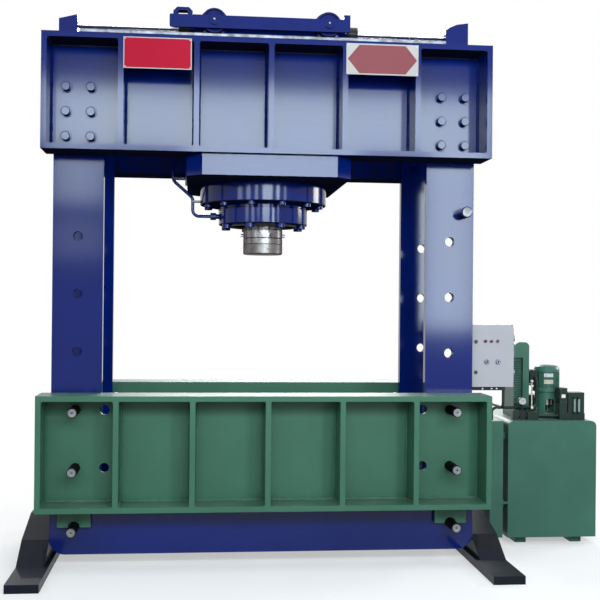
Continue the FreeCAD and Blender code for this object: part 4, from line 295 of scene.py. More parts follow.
@dataclass(frozen=True)
class Finish:
    """A finish that can dress any piece; its material is made once."""

    name: str
    colour: Colour

    def material(self) -> bpy.types.Material:
        """Makes the finish's material when it is first used.

        Returns:
            The material.
        """
        found = bpy.data.materials.get(self.name)
        if found is None:
            found = bpy.data.materials.new(self.name)
            found.use_nodes = True
            self.compose(Surface(found.node_tree))
        return found

    def tone(self, share: float) -> Colour:
        """The finish's colour, darkened to a share of itself."""
        return tuple(share * channel for channel in self.colour)

    def compose(self, s: Surface) -> None:
        """Fills the shader; each kind of finish says how."""
        raise NotImplementedError


@dataclass(frozen=True)
class Paint(Finish):
    """Enamel over steel: film relief, clouds, dust, dirt and painted shade in corners, painted shade on
    undersides, and rubbed edges.
    """

    shade: Colour
    roughness: float
    coat: float
    waves: float = 1.0
    peel: float = 0.02
    depth: float = 0.004
    wear: float = 0.8
    dust: float = 0.3
    dirt_and_shade: float = 0.6
    reach: float = 0.06
    worn: Colour = (0.3, 0.3, 0.31)
    dust_colour: Colour = (0.42, 0.41, 0.38)
    # Colour of dirt and painted shade in corners; a quarter of the paint's colour when not given.
    dirt_and_shade_colour: Colour | None = None
    # Painted shade on downward faces: its near-black colour.
    underside_shade: Colour = (0.011, 0.011, 0.013)
    edge: float = 0.0025
    sheen: float = 0.3
    coat_index: float = 1.3
    coat_blur: float = 0.06
    mottle: float = 0.07
    matt: Row = (0.75, 0.5, 0.9)
    # How far downward faces take the painted shade.
    underside_shading: float = 0.85

    def compose(self, s: Surface) -> None:
        """Mixes the paint with its dirt and painted shade in corners, dust, painted shade on undersides and
        worn edges.

        Args:
            s: The material's graph.
        """
        film = PAINT_FILM.place(s, Waves=self.waves, Peel=self.peel)
        grime_and_shade = GRIME_AND_SHADE.place(s, Dust=self.dust, Dirt=self.dirt_and_shade, Reach=self.reach)
        clouds, dust, dirt_and_shade, under = film["Clouds"], grime_and_shade["Dust"], grime_and_shade["Dirt"], grime_and_shade["Under"]
        wear = EDGE_WEAR.place(s, Radius=self.edge * 1.6, Amount=self.wear)["Mask"]
        # Dirt and painted shade darken the inner corners.
        dirty_and_shaded = s.blend(dirt_and_shade, s.blend(clouds, self.colour, self.shade), self.dirt_and_shade_colour or self.tone(0.25))
        dusty = s.blend(dust, dirty_and_shaded, self.dust_colour)
        # Painted shade: downward faces darkened towards near black.
        underside_shading = s.blend(s.math("MULTIPLY", under, self.underside_shading), dusty, self.underside_shade)
        gloss = s.math("MULTIPLY_ADD", clouds, self.mottle, self.roughness)
        for mask, matt in zip((dust, dirt_and_shade, under), self.matt):
            gloss = s.math("MAXIMUM", gloss, s.math("MULTIPLY", mask, matt))
        spoilt = s.math("MAXIMUM", wear, s.math("MAXIMUM", dust, dirt_and_shade))
        cover = s.math("SUBTRACT", 1.0, s.math("MAXIMUM", spoilt, under))
        s.fill({
            "Base Color": s.blend(wear, underside_shading, self.worn),
            "Roughness": gloss,
            "Metallic": wear,
            "Coat Weight": s.math("MULTIPLY", cover, self.coat),
            "Specular IOR Level": self.sheen,
            "Coat IOR": self.coat_index,
            "Coat Roughness": self.coat_blur,
        })
        s.relief(film["Height"], self.depth, self.edge)


@dataclass(frozen=True)
class Metal(Finish):
    """Bare metal with tool marks, stains and an oily gloss."""

    stain: Colour
    roughness: float
    marks: Point = (3.0, 3.0, 900.0)
    depth: float = 0.00004
    edge: float = 0.001
    # Specular Tint at grazing angles; set dark, it is a painted reflection that darkens the metal's sides
    # as if they mirrored dark surroundings.
    rim: Colour = (0.8, 0.8, 0.8)
    # Colour of dirt and painted shade in the metal's corners.
    soot_and_shade: Colour = (0.03, 0.03, 0.03)
    mottle: float = 0.14
    scuff: float = 0.1

    def compose(self, s: Surface) -> None:
        """Mixes the metal with its stains, marks, and dirt and painted shade in corners.

        Args:
            s: The material's graph.
        """
        tool = TOOLING.place(s, **dict(zip("XYZ", self.marks)))
        # Dirt and painted shade darken the metal's inner corners.
        dirt_and_shade = GRIME_AND_SHADE.place(s, Dust=0.0, Dirt=0.7, Reach=0.02)["Dirt"]
        shade = s.blend(tool["Stains"], self.colour, self.stain)
        lined = s.blend(s.span(tool["Marks"], 0.35, 0.75, 0.0, 0.35), shade, self.stain)
        uneven = s.math("MULTIPLY_ADD", tool["Stains"], self.mottle, self.roughness)
        s.fill({
            "Base Color": s.blend(dirt_and_shade, lined, self.soot_and_shade),
            "Metallic": 1.0,
            # A dark tint here is a painted reflection on the metal's sides.
            "Specular Tint": self.rim,
            "Roughness": s.math("MULTIPLY_ADD", tool["Marks"], self.scuff, uneven),
        })
        s.relief(tool["Marks"], self.depth, self.edge)


@dataclass(frozen=True)
class Moulding(Finish):
    """Plastic or rubber with a fine moulded grain and handling marks."""

    roughness: float
    grain: float = 0.00008
    scale: float = 900.0
    edge: float = 0.0008
    dust_colour: Colour = (0.4, 0.39, 0.36)
    mottle: float = 0.12

    def compose(self, s: Surface) -> None:
        """Mixes the moulding with its touch marks, dirt and dust.

        Args:
            Mixes the moulding with its touch marks, dirt and painted shade in corners, and dust.
        """
        touch = s.span(s.noise(30.0, 4.0, 0.6), 0.35, 0.7)
        corner = GRIME_AND_SHADE.place(s, Dust=0.12, Dirt=0.6, Reach=0.01)
        # Dirt and painted shade darken the moulding's inner corners.
        dark = s.blend(corner["Dirt"], s.blend(touch, self.colour, self.tone(0.8)), self.tone(0.3))
        gloss = s.math("MULTIPLY_ADD", touch, self.mottle, self.roughness)
        s.fill({"Base Color": s.blend(corner["Dust"], dark, self.dust_colour), "Roughness": gloss})
        s.relief(s.noise(self.scale, 2.0, 0.5), self.grain, self.edge)


@dataclass(frozen=True)
class Lens(Finish):
    """Clear or coloured glass or acrylic."""

    roughness: float = 0.04
    clearness: float = 0.75
    index: float = 1.49
    mottle: float = 0.08

    def compose(self, s: Surface) -> None:
        """Mixes the glass with its smears.

        Args:
            s: The material's graph.
        """
        smear = s.span(s.noise(60.0, 4.0, 0.6), 0.4, 0.7)
        bright = tuple(min(1.0, channel) for channel in self.tone(1.15))
        gloss = s.math("MULTIPLY_ADD", smear, self.mottle, self.roughness)
        s.fill({"Base Color": s.blend(smear, self.colour, bright), "Roughness": gloss})
        s.fill({"Transmission Weight": self.clearness, "IOR": self.index})


NAVY = Paint(
    "navy_enamel", (0.0012, 0.012, 0.132), (0.001, 0.0085, 0.096), 0.36, 1.0, waves=3.4, peel=0.015,
    wear=0.6, dust=0.1, dirt_and_shade=0.7, worn=(0.14, 0.16, 0.22), dust_colour=(0.08, 0.11, 0.22), sheen=0.0,
    coat_index=1.33, coat_blur=0.11)
# Painted shade: the rear girder and spacers darkened nearly to black by occlusion over a 0.9 m reach.
SHADED_NAVY = replace(NAVY, name="shaded_navy", dirt_and_shade=1.3, reach=0.9, dirt_and_shade_colour=(0.014, 0.013, 0.015))
# A darker, greyer navy for the feet.
DARK_FOOT_NAVY = Paint(
    "dark_foot_navy", (0.0045, 0.0065, 0.02), (0.008, 0.0085, 0.013), 0.46, 0.3, waves=0.6, wear=0.9,
    dust=0.12, dirt_and_shade=0.8, worn=(0.12, 0.12, 0.13), dust_colour=(0.05, 0.05, 0.055), sheen=0.06)
GREEN = Paint(
    "green_enamel", (0.038, 0.13, 0.078), (0.031, 0.106, 0.064), 0.46, 0.25, waves=0.7, peel=0.03,
    dust_colour=(0.22, 0.27, 0.22), sheen=0.25)
MACHINE_GREEN = Paint(
    "machine_green", (0.042, 0.142, 0.095), (0.03, 0.104, 0.07), 0.42, 0.3, waves=0.2, peel=0.03,
    wear=0.7, dust=0.25, dust_colour=(0.2, 0.25, 0.2), sheen=0.25)
VALVE_GREEN = Paint(
    "valve_green", (0.014, 0.034, 0.026), (0.008, 0.018, 0.015), 0.38, 0.3, waves=0.1, peel=0.04,
    dust=0.12, sheen=0.15)
DARK_PAINT = Paint(
    "dark_enamel", (0.012, 0.014, 0.015), (0.018, 0.02, 0.021), 0.42, 0.2, waves=0.1, peel=0.04,
    dust=0.12, sheen=0.15)
CABINET_GREY = Paint(
    "cabinet_grey", (0.4, 0.375, 0.395), (0.36, 0.335, 0.355), 0.4, 0.15, waves=0.08, peel=0.06,
    wear=0.25, dust=0.12, dirt_and_shade=0.35, edge=0.0015)
# Painted shade: the cabinet's box is a dark blue-grey, standing in for the shade on its side.
SHADED_CABINET_BOX = Paint(
    "cabinet_shaded_box", (0.075, 0.085, 0.1), (0.055, 0.062, 0.075), 0.42, 0.2, waves=0.08, peel=0.06,
    wear=0.3, dust=0.15)
SIGN_RED = Paint(
    "plate_red", (0.42, 0.013, 0.034), (0.37, 0.011, 0.03), 0.5, 0.02, waves=0.05, wear=0.2, dust=0.0,
    sheen=0.02)
SIGN_ROSE = Paint(
    "sign_rose", (0.24, 0.06, 0.068), (0.21, 0.05, 0.058), 0.42, 0.3, waves=0.05, wear=0.3, dust=0.15,
    sheen=0.1)
SIGN_PALE = Paint(
    "sign_pale", (0.5, 0.47, 0.44), (0.4, 0.37, 0.35), 0.46, 0.2, waves=0.05, wear=0.2, dust=0.1,
    dirt_and_shade=0.4, sheen=0.1)
TURNED_Z = Metal("turned_steel_z", (0.23, 0.22, 0.22), (0.12, 0.105, 0.1), 0.24, rim=(0.26, 0.26, 0.27))
PLATED_X = Metal("plated_rod", (0.74, 0.75, 0.77), (0.6, 0.6, 0.61), 0.1, (700.0, 3.0, 3.0), depth=0.00001)
# Painted reflection: the ram's chrome has a dark base colour and a dark grazing tint for the dark sides it
# shows.
PLATED_Z = Metal(
    "plated_ram", (0.22, 0.215, 0.22), (0.15, 0.14, 0.14), 0.16, (3.0, 3.0, 700.0), depth=0.00001,
    rim=(0.26, 0.26, 0.27))
FACED_Y = Metal(
    "faced_ends", (0.21, 0.215, 0.225), (0.13, 0.13, 0.135), 0.36, (260.0, 3.0, 260.0), rim=(0.4, 0.4, 0.4))
OILED_Y = Metal(
    "oiled_pins", (0.045, 0.05, 0.052), (0.03, 0.03, 0.032), 0.34, (3.0, 900.0, 3.0), rim=(0.3, 0.3, 0.32))
RAIL_STEEL = Metal(
    "rail_steel", (0.24, 0.25, 0.28), (0.13, 0.13, 0.14), 0.4, (3.0, 200.0, 200.0), rim=(0.4, 0.4, 0.4))
ZINC = Metal("zinc_fittings", (0.66, 0.66, 0.62), (0.42, 0.38, 0.3), 0.3, (120.0, 120.0, 120.0))
OXIDE = Metal("oxide_black", (0.06, 0.058, 0.058), (0.12, 0.1, 0.085), 0.38, (90.0, 90.0, 90.0))
BRASS = Metal("brass", (0.62, 0.46, 0.2), (0.38, 0.26, 0.1), 0.28, (90.0, 90.0, 90.0))
RUBBER = Moulding("black_rubber", (0.018, 0.018, 0.019), 0.55)
BLACK_PLASTIC = Moulding("black_plastic", (0.016, 0.017, 0.018), 0.38)
PALE_PLASTIC = Moulding("pale_plastic", (0.66, 0.66, 0.62), 0.34)
BLUE_PLASTIC = Moulding("blue_grey_plastic", (0.13, 0.19, 0.33), 0.32)
DIAL_WHITE = Moulding("dial_white", (0.8, 0.8, 0.77), 0.5, grain=0.00002)
LABEL_TAN = Moulding("label_tan", (0.55, 0.5, 0.37), 0.36, grain=0.00002)
SIGHT_PALE = Moulding("sight_sleeve", (0.26, 0.34, 0.3), 0.22, grain=0.00001)
LAMP_RED = Lens("lamp_red", (0.38, 0.02, 0.03))
GLASS = Lens("clear_glass", (0.95, 0.97, 0.96))


# ---- mesh building


class Slot(Enum):
    """The record's material slots, passed along with the added pieces."""

    NAVY = "navy_paint"
    GREEN = "green_paint"
    DARK = "dark_paint"
    STEEL = "bare_steel"
    OXIDE = "black_oxide"
    SIGN = "sign_red"
    DIAL = "dial"
    NEEDLE = "needle_black"
    BUTTON = "button_plastic"
    KNOB = "knob_plastic"


class Shape:
    """Collects the faces of one piece, in millimetres from the press's centre line."""

    def __init__(self, *finishes: Finish) -> None:
        """Starts with no faces, in the finish that the first ones wear."""
        self.mesh = bmesh.new()
        self.spots = [finish.material() for finish in finishes]

    def _corner(self, point: Vector) -> bmesh.types.BMVert:
        """Adds a corner at a place in millimetres."""
        return self.mesh.verts.new(millimetres(*point))

    def _take(self, faces: Iterable[bmesh.types.BMFace], smooth: bool) -> None:
        """Sets the shading and finish of new faces."""
        for face in faces:
            face.smooth, face.material_index = smooth, len(self.spots) - 1

    def use(self, finish: Finish) -> "Shape":
        """Dresses what is added from here on in a finish."""
        self.spots.append(finish.material())
        return self

    def turned(
        self, profile: Profile, centres: Iterable[Point], axis: Axis = Axis.Y, sides: int = 0,
        closed: bool = False, way: int = 1, turn: Matrix = Matrix(),
    ) -> "Shape":
        """Adds shapes of revolution, or prisms with flat sides, all of one profile.

        Args:
            profile: Distance along the axis and radius, from one end to the other.
            centres: Where each shape's axis starts.
            axis: The axis.
            sides: The number of flats of a prism, or 0 for a round shape.
            closed: Whether the profile is a closed section of a ring.
            way: 1 to run along the axis, -1 to run against it.
            turn: A last transform in millimetres.

        Returns:
            The shape itself.
        """
        count = sides or ROUND_SIDES
        first, second = ((1, 2), (2, 0), (0, 1))[axis.value]
        for centre in centres:
            rings = []
            for along, radius in profile:
                ring = []
                for index in range(count if radius else 1):
                    angle = math.tau * (index + 0.5) / count
                    point = Vector(centre)
                    point[axis.value] += way * along
                    point[first] += radius * math.cos(angle)
                    point[second] += radius * math.sin(angle)
                    ring.append(self._corner(turn @ point))
                rings.append(ring)
            faces = []
            for one, two in zip(rings, [*rings[1:], rings[0]] if closed else rings[1:]):
                for index in range(count):
                    pair = (index, (index + 1) % count)
                    corners = [one[i % len(one)] for i in pair] + [two[i % len(two)] for i in pair[::-1]]
                    faces.append(self.mesh.faces.new(list(dict.fromkeys(corners))))
            self._take(faces, not sides)
            caps = [] if closed else [ring for ring in (rings[0][::-1], rings[-1]) if len(ring) > 1]
            self._take([self.mesh.faces.new(ring) for ring in caps], False)
        return self

    def ring(self, inner: float, outer: float, thick: float, soft: float, feet: Iterable[Point]) -> "Shape":
        """Adds flat rings along Y, softened outside; a negative thickness builds them forwards."""
        rim = [(0.0, outer), (thick - math.copysign(soft, thick), outer), (thick, outer - soft)]
        return self.turned([(0.0, inner), *rim, (thick, inner)], feet, closed=True)

    def plate(self, outline: Sequence[Point], push: Point) -> "Shape":
        """Adds a flat plate.

        Args:
            outline: The corners of one side.
            push: The vector to the other side.

        Returns:
            The shape itself.
        """
        near = [self._corner(Vector(p)) for p in outline]
        far = [self._corner(Vector(p) + Vector(push)) for p in outline]
        edges = zip(near, [*near[1:], near[0]], [*far[1:], far[0]], far)
        self._take([self.mesh.faces.new(corners) for corners in (near[::-1], far, *edges)], False)
        return self

    def block(self, x: Pair, y: Pair, z: Pair) -> "Shape":
        """Adds a block between its low and high sides."""
        foot = [(x[0], y[0], z[0]), (x[1], y[0], z[0]), (x[1], y[1], z[0]), (x[0], y[1], z[0])]
        return self.plate(foot, (0.0, 0.0, z[1] - z[0]))

    def bead(
        self, start: Point, end: Point, first: Point, second: Point, leg: float, draw: random.Random
    ) -> "Shape":
        """Adds a weld bead with its ripples, laid in the inner corner of two plates.

        Args:
            start: One end of the corner.
            end: Its other end.
            first: The direction along one plate.
            second: The direction along the other plate.
            leg: The bead's usual leg.
            draw: The source of its unevenness.

        Returns:
            The shape itself.
        """
        start, end, first, second = (Vector(v) for v in (start, end, first, second))
        count = max(2, round((end - start).length / BEAD_STEP))
        rings = []
        for index in range(count + 1):
            root = start.lerp(end, index / count)
            size = leg * draw.uniform(*LEG_SPREAD)
            crown = size * draw.uniform(*CROWN_SPREAD)
            section = (
                root - (first + second) * ROOT_SINK,
                root + first * size - second * TOE_SINK,
                root + (first + second) * crown,
                root + second * size - first * TOE_SINK,
            )
            rings.append([self._corner(point) for point in section])
        faces = [
            self.mesh.faces.new([one[i - 1], one[i], two[i], two[i - 1]])
            for one, two in zip(rings, rings[1:])
            for i in range(4)
        ]
        self._take(faces, True)
        self._take([self.mesh.faces.new(rings[0][::-1]), self.mesh.faces.new(rings[-1])], False)
        return self

    def piece(self, name: str, slot: Slot, body: str = "frame", bevel: float = 0.0) -> None:
        """Makes the piece and hangs it on its body.

        Args:
            name: The piece's name.
            slot: The record's material slot; not used.
            body: The body that it moves with.
            bevel: The width in millimetres of a real bevel on sharp edges, or 0.
        """
        bmesh.ops.recalc_face_normals(self.mesh, faces=self.mesh.faces)
        data = bpy.data.meshes.new(name)
        self.mesh.to_mesh(data)
        self.mesh.free()
        for material in self.spots:
            data.materials.append(material)
        data.set_sharp_from_angle(angle=SHARP_PIECE)
        item = bpy.data.objects.new(name, data)
        bpy.context.scene.collection.objects.link(item)
        if bevel:
            edge = item.modifiers.new("edge", "BEVEL")
            edge.width, edge.segments, edge.harden_normals = bevel / PER_METRE, 2, True
            edge.limit_method, edge.angle_limit = "ANGLE", BEVELLED
        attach(item, body)
        LOG.info("%s rides on %s: %d faces", name, body, len(data.polygons))


def dress(finish: Finish, *nodes: str) -> None:
    """Gives some of the construction's nodes a finish.

    Args:
        finish: The finish.
        nodes: The nodes' names.
    """
    for node in nodes:
        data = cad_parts[node].data
        data.materials.clear()
        data.materials.append(finish.material())
        data.polygons.foreach_set("use_smooth", [True] * len(data.polygons))
        data.set_sharp_from_angle(angle=SHARP_NODE)
        LOG.info("%s wears %s", node, finish.name)


# ---- stage


@dataclass(frozen=True)
class Lamp:
    """A soft rectangular lamp."""

    name: str
    place: Point
    aim: Point
    width: float
    height: float
    power: float
    colour: Colour = (0.78, 0.92, 1.0)

    def hang(self) -> None:
        """Adds the lamp to the scene."""
        data = bpy.data.lights.new(self.name, "AREA")
        data.color, data.energy, data.shape = self.colour, self.power, "RECTANGLE"
        data.size, data.size_y = self.width, self.height
        item = bpy.data.objects.new(self.name, data)
        item.location = self.place
        item.rotation_euler = (Vector(self.aim) - Vector(self.place)).to_track_quat("-Z", "Y").to_euler()
        item.visible_camera = False
        bpy.context.scene.collection.objects.link(item)


@dataclass
class Studio:
    """Camera, lamps, world and floor."""

    camera_place: Point = (-0.779, -6.342, 1.488)
    yaw: float = 0.1006
    pitch: float = 0.0042
    roll: float = 0.0092
    lens: float = 62.06
    sensor: float = 36.0
    sight: float = 200.0
    daylight: float = 0.26
    sky: Colour = (0.9, 0.95, 1.0)
    floor_size: float = 16.0
    floor_drop: float = 0.0005
    fade: Pair = (1.9, 3.7)
    paper: float = 0.45
    pale: tuple[Colour, Colour] = ((0.93, 0.93, 0.93), (0.96, 0.96, 0.95))
    dim: Colour = (0.22, 0.22, 0.23)
    lamps: Sequence[Lamp] = (
        Lamp("window", (0.05, -6.3, 3.55), (0.05, 0.0, 2.2), 5.0, 0.7, 245.0),
        Lamp("low_window", (0.05, -6.3, 2.8), (0.0, 0.0, 2.2), 1.9, 0.78, 92.0),
        Lamp("right_window", (2.17, -6.3, 2.2), (1.6, 0.0, 1.9), 0.66, 2.0, 88.0),
        Lamp("left_window", (-2.1, -6.3, 2.86), (-1.6, 0.0, 2.2), 0.6, 0.5, 11.0),
        Lamp("left_pane", (-2.1, -6.3, 2.2), (-1.6, 0.0, 1.9), 0.6, 0.44, 3.0),
        Lamp("left_strip", (-3.5, -5.6, 2.9), (-0.4, 0.0, 2.1), 0.8, 1.0, 23.0),
        Lamp("far_strip", (-4.9, -4.6, 3.0), (-0.4, 0.0, 2.1), 0.9, 1.1, 23.0),
        Lamp("right_strip", (3.6, -5.7, 2.9), (-0.4, 0.0, 2.1), 0.5, 1.0, 15.0),
        Lamp("ceiling", (-0.4, -1.2, 6.4), (-0.3, 0.0, 0.0), 6.0, 4.5, 115.0, WHITE),
        Lamp("back", (1.0, 7.0, 4.4), (-0.3, 0.0, 1.6), 4.6, 1.8, 520.0, WHITE),
        Lamp("side", (7.2, 2.2, 3.6), (-0.2, 0.2, 1.5), 2.2, 1.8, 190.0, WHITE),
    )

    def build(self) -> None:
        """Sets the stage."""
        self.camera()
        self.world()
        self.floor()
        for lamp in self.lamps:
            lamp.hang()

    def camera(self) -> None:
        """Places the camera where the photograph was taken from."""
        data = bpy.data.cameras.new("camera")
        data.sensor_fit = "HORIZONTAL"
        data.sensor_width, data.lens, data.clip_end = self.sensor, self.lens, self.sight
        item = bpy.data.objects.new("camera", data)
        place = Matrix.Translation(self.camera_place)
        for angle, axis in ((-self.yaw, "Z"), (math.pi / 2, "X"), (self.pitch, "X"), (self.roll, "Z")):
            place = place @ Matrix.Rotation(angle, 4, axis)
        item.matrix_world = place
        bpy.context.scene.collection.objects.link(item)
        bpy.context.scene.camera = item

    @staticmethod
    def shown(g: Graph) -> Socket:
        """1 for rays that show the background: seen straight, mirrored or through glass."""
        seen, *others = map(g.add("LightPath").outputs.get, RAYS)
        return g.math("MAXIMUM", seen, g.math("MAXIMUM", *others))

    def world(self) -> None:
        """A plain world, white where it shows and dimmer where it only lights."""
        world = bpy.data.worlds.new("studio")
        bpy.context.scene.world = world
        world.use_nodes = True
        g = Graph(world.node_tree)
        light = g.add("Background", {"Color": self.sky, "Strength": self.daylight})
        white = g.add("Background", {"Color": WHITE, "Strength": 1.0})
        g.add("OutputWorld", {"Surface": g.add("MixShader", {0: self.shown(g), 1: light, 2: white})})

    def floor(self) -> None:
        """A pale floor that keeps the press's shadow and fades into the white behind."""
        material = bpy.data.materials.new("pale_floor")
        material.use_nodes = True
        g = Graph(material.node_tree)
        place = g.add("SeparateXYZ", {0: g.add("TexCoord").outputs["Object"]}).outputs
        squares = [g.math("POWER", place[axis], 2.0) for axis in ("X", "Y")]
        fade = g.span(g.math("POWER", g.math("ADD", *squares), 0.5), *self.fade)
        shown = self.shown(g)
        pale = g.blend(g.span(g.noise(3.0, 4.0), 0.3, 0.7), *self.pale)
        colour = g.blend(shown, self.dim, pale)
        ground = g.add("BsdfPrincipled", {"Base Color": colour, "Roughness": 0.7})
        share = g.math("MULTIPLY", shown, self.paper)
        lit = g.add("MixShader", {0: share, 1: ground, 2: g.add("Emission")})
        share = g.math("MULTIPLY", fade, shown)
        faded = g.add("MixShader", {0: share, 1: lit, 2: g.add("BsdfTransparent")})
        g.add("OutputMaterial", {"Surface": faded})
        half = self.floor_size / 2
        data = bpy.data.meshes.new("floor")
        corners = [(-half, -half, 0), (half, -half, 0), (half, half, 0), (-half, half, 0)]
        data.from_pydata(corners, [], [(0, 1, 2, 3)])
        data.materials.append(material)
        item = bpy.data.objects.new("floor", data)
        item.location.z = -self.floor_drop
        bpy.context.scene.collection.objects.link(item)


# ---- sub-assemblies


@dataclass(frozen=True)
class Panels:
    """The row of panels between the ribs of one plate girder."""

    start: float
    pitch: float
    width: float
    low: float
    high: float
    count: int = 6
    web: float = 437.0
    lip: float = 634.0
    leg: float = 9.0

    def welds(self, name: str, side: int, finish: Finish, slot: Slot) -> None:
        """Lays the fillet welds of every panel.

        Args:
            name: The piece's name.
            side: -1 for the girder in front, 1 for the one behind.
            finish: The girder's finish.
            slot: The girder's material slot.
        """
        draw = random.Random(name)
        beads = Shape(finish)
        web, lip = side * self.web, side * self.lip
        out = (0, side, 0)
        floors = ((self.low, (0, 0, 1)), (self.high, (0, 0, -1)))
        for index in range(self.count):
            x0 = self.start + index * self.pitch
            x1 = x0 + self.width
            for z, way in floors:
                beads.bead((x0, web, z), (x1, web, z), way, out, self.leg, draw)
            for x, way in ((x0, (1, 0, 0)), (x1, (-1, 0, 0))):
                beads.bead((x, web, self.low), (x, web, self.high), way, out, self.leg, draw)
                for z, rise in floors:
                    beads.bead((x, web, z), (x, lip, z), way, rise, self.leg, draw)
        beads.piece(name, slot)


@dataclass
class PressFrame:
    """Head, columns, bed and feet."""

    head_panels: Panels = Panels(-1222.0, 412.33, 382.33, 2352.0, 2930.0)
    bed_panels: Panels = Panels(-1235.0, 416.67, 386.67, 370.0, 948.0)
    bolt_x: Row = (-1140.0, -1002.0, 1002.0, 1140.0)
    bolt_z: Row = (2418.0, 2557.0, 2696.0)
    washer_hole: float = 25.1
    washer: float = 33.0
    washer_thick: float = 4.0
    washer_edge: float = 1.0
    peg: Point = (1146.0, -511.0, 2029.0)
    peg_face: Profile = ((0.0, 27.0), (-0.5, 26.5), (-0.5, 0.0))
    pin_x: float = 1071.0
    pin_z: Row = (232.0, 558.0, 884.0)
    pin_ends: Sequence[tuple[float, int]] = ((-620.0, -1), (467.0, 1))
    pin_face: Profile = ((0.0, 23.0), (0.5, 22.5), (0.5, 7.0), (-0.1, 3.0), (-0.1, 0.0))

    def build(self) -> None:
        """Dresses the frame and adds its welds, washers and machined ends."""
        dress(NAVY, "column_left", "column_right", "head_girder_front", "head_bolts", "lower_ties")
        dress(GREEN, "bed_girder_front", "bed_girder_rear", "bed_cross_plates")
        dress(DARK_FOOT_NAVY, "foot_left", "foot_right")
        # Painted shade: the rear girder and spacers wear the darkened navy.
        dress(SHADED_NAVY, "head_girder_rear", "head_spacers")
        for way, side in (("front", -1), ("rear", 1)):
            self.head_panels.welds(f"head_welds_{way}", side, NAVY, Slot.NAVY)
            self.bed_panels.welds(f"bed_welds_{way}", side, GREEN, Slot.GREEN)
        self.washers()
        self.machined_ends()

    def washers(self) -> None:
        """Washers under the bolt heads of both webs."""
        washers = Shape(NAVY)
        for side in (-1, 1):
            feet = [(x, side * self.head_panels.web, z) for x in self.bolt_x for z in self.bolt_z]
            thick = side * self.washer_thick
            washers.ring(self.washer_hole, self.washer, thick, self.washer_edge, feet)
        washers.piece("head_bolt_washers", Slot.NAVY)

    def machined_ends(self) -> None:
        """Faced ends of the bed pins and the peg."""
        for side, x in (("left", -self.pin_x), ("right", self.pin_x)):
            for level, z in zip(("low", "middle", "high"), self.pin_z):
                dress(OILED_Y, f"bed_pin_{side}_{level}")
                face = Shape(FACED_Y)
                for end, way in self.pin_ends:
                    face.turned(self.pin_face, [(x, end, z)], way=way)
                face.piece(f"bed_pin_face_{side}_{level}", Slot.STEEL, f"bed_pin_{side}_{level}")
        Shape(FACED_Y).turned(self.peg_face, [self.peg]).piece("peg_face", Slot.STEEL)


@dataclass
class Carriage:
    """Rails, wheels, side bars and traverse cylinder on the head."""

    rod: Pair = (-436.0, 3048.0)
    gland: Pair = (38.05, 38.8)
    gland_ends: Sides = ((-514.0, -452.0), (442.0, 504.0))
    gland_edge: Pair = (0.8, 0.3)
    ports: Row = (78.0, 130.0)
    port_seat: Pair = (-468.0, 3044.0)
    port_hexagon: Profile = ((0.0, 9.5), (-5.0, 9.5), (-6.0, 8.4))
    port_nose: Profile = ((-6.0, 6.0), (-10.0, 6.0), (-10.6, 5.4), (-10.6, 0.0))
    axles: Row = (-317.5, 327.5)
    axle_end: float = 591.0
    axle_z: float = 3068.0
    nipple_hexagon: Profile = ((0.0, 5.5), (3.0, 5.5), (3.4, 5.0))
    nipple_tip: Profile = ((3.4, 2.6), (6.0, 2.4), (7.6, 3.3), (9.2, 2.6), (9.8, 1.2), (9.8, 0.0))

    def build(self) -> None:
        """Dresses the carriage and adds its bands, ports and grease nipples."""
        dress(NAVY, "traverse_posts", "traverse_barrel", "carriage_cheeks", "carriage_frame", "wheel_axles")
        dress(RAIL_STEEL, "rails")
        dress(PLATED_X, "traverse_rod")
        dress(NAVY, *(f"wheel_{end}_{side}" for end in ("left", "right") for side in ("front", "rear")))
        self.gland_bands()
        self.oil_ports()
        self.nipples()

    def gland_bands(self) -> None:
        """Black bands round the gland heads of the traverse cylinder."""
        bands = Shape(DARK_PAINT)
        (inner, outer), (along, down) = self.gland, self.gland_edge
        for start, end in self.gland_ends:
            length = end - start
            edges = [(0.0, outer - down), (along, outer), (length - along, outer), (length, outer - down)]
            section = [(0.0, inner), *edges, (length, inner)]
            bands.turned(section, [(start, *self.rod)], Axis.X, closed=True)
        bands.piece("traverse_gland_bands", Slot.DARK, "carriage")

    def oil_ports(self) -> None:
        """Two zinc-plated oil ports on the barrel's front."""
        feet = [(x, *self.port_seat) for x in self.ports]
        ports = Shape(ZINC).turned(self.port_hexagon, feet, sides=6)
        ports.turned(self.port_nose, feet).piece("traverse_ports", Slot.STEEL, "carriage")

    def nipples(self) -> None:
        """Grease nipples in the ends of the wheel axles."""
        nipples = Shape(BRASS)
        for side in (-1, 1):
            feet = [(x, side * self.axle_end, self.axle_z) for x in self.axles]
            nipples.turned(self.nipple_hexagon, feet, sides=6, way=side)
            nipples.turned(self.nipple_tip, feet, way=side)
        nipples.piece("grease_nipples", Slot.STEEL, "carriage")


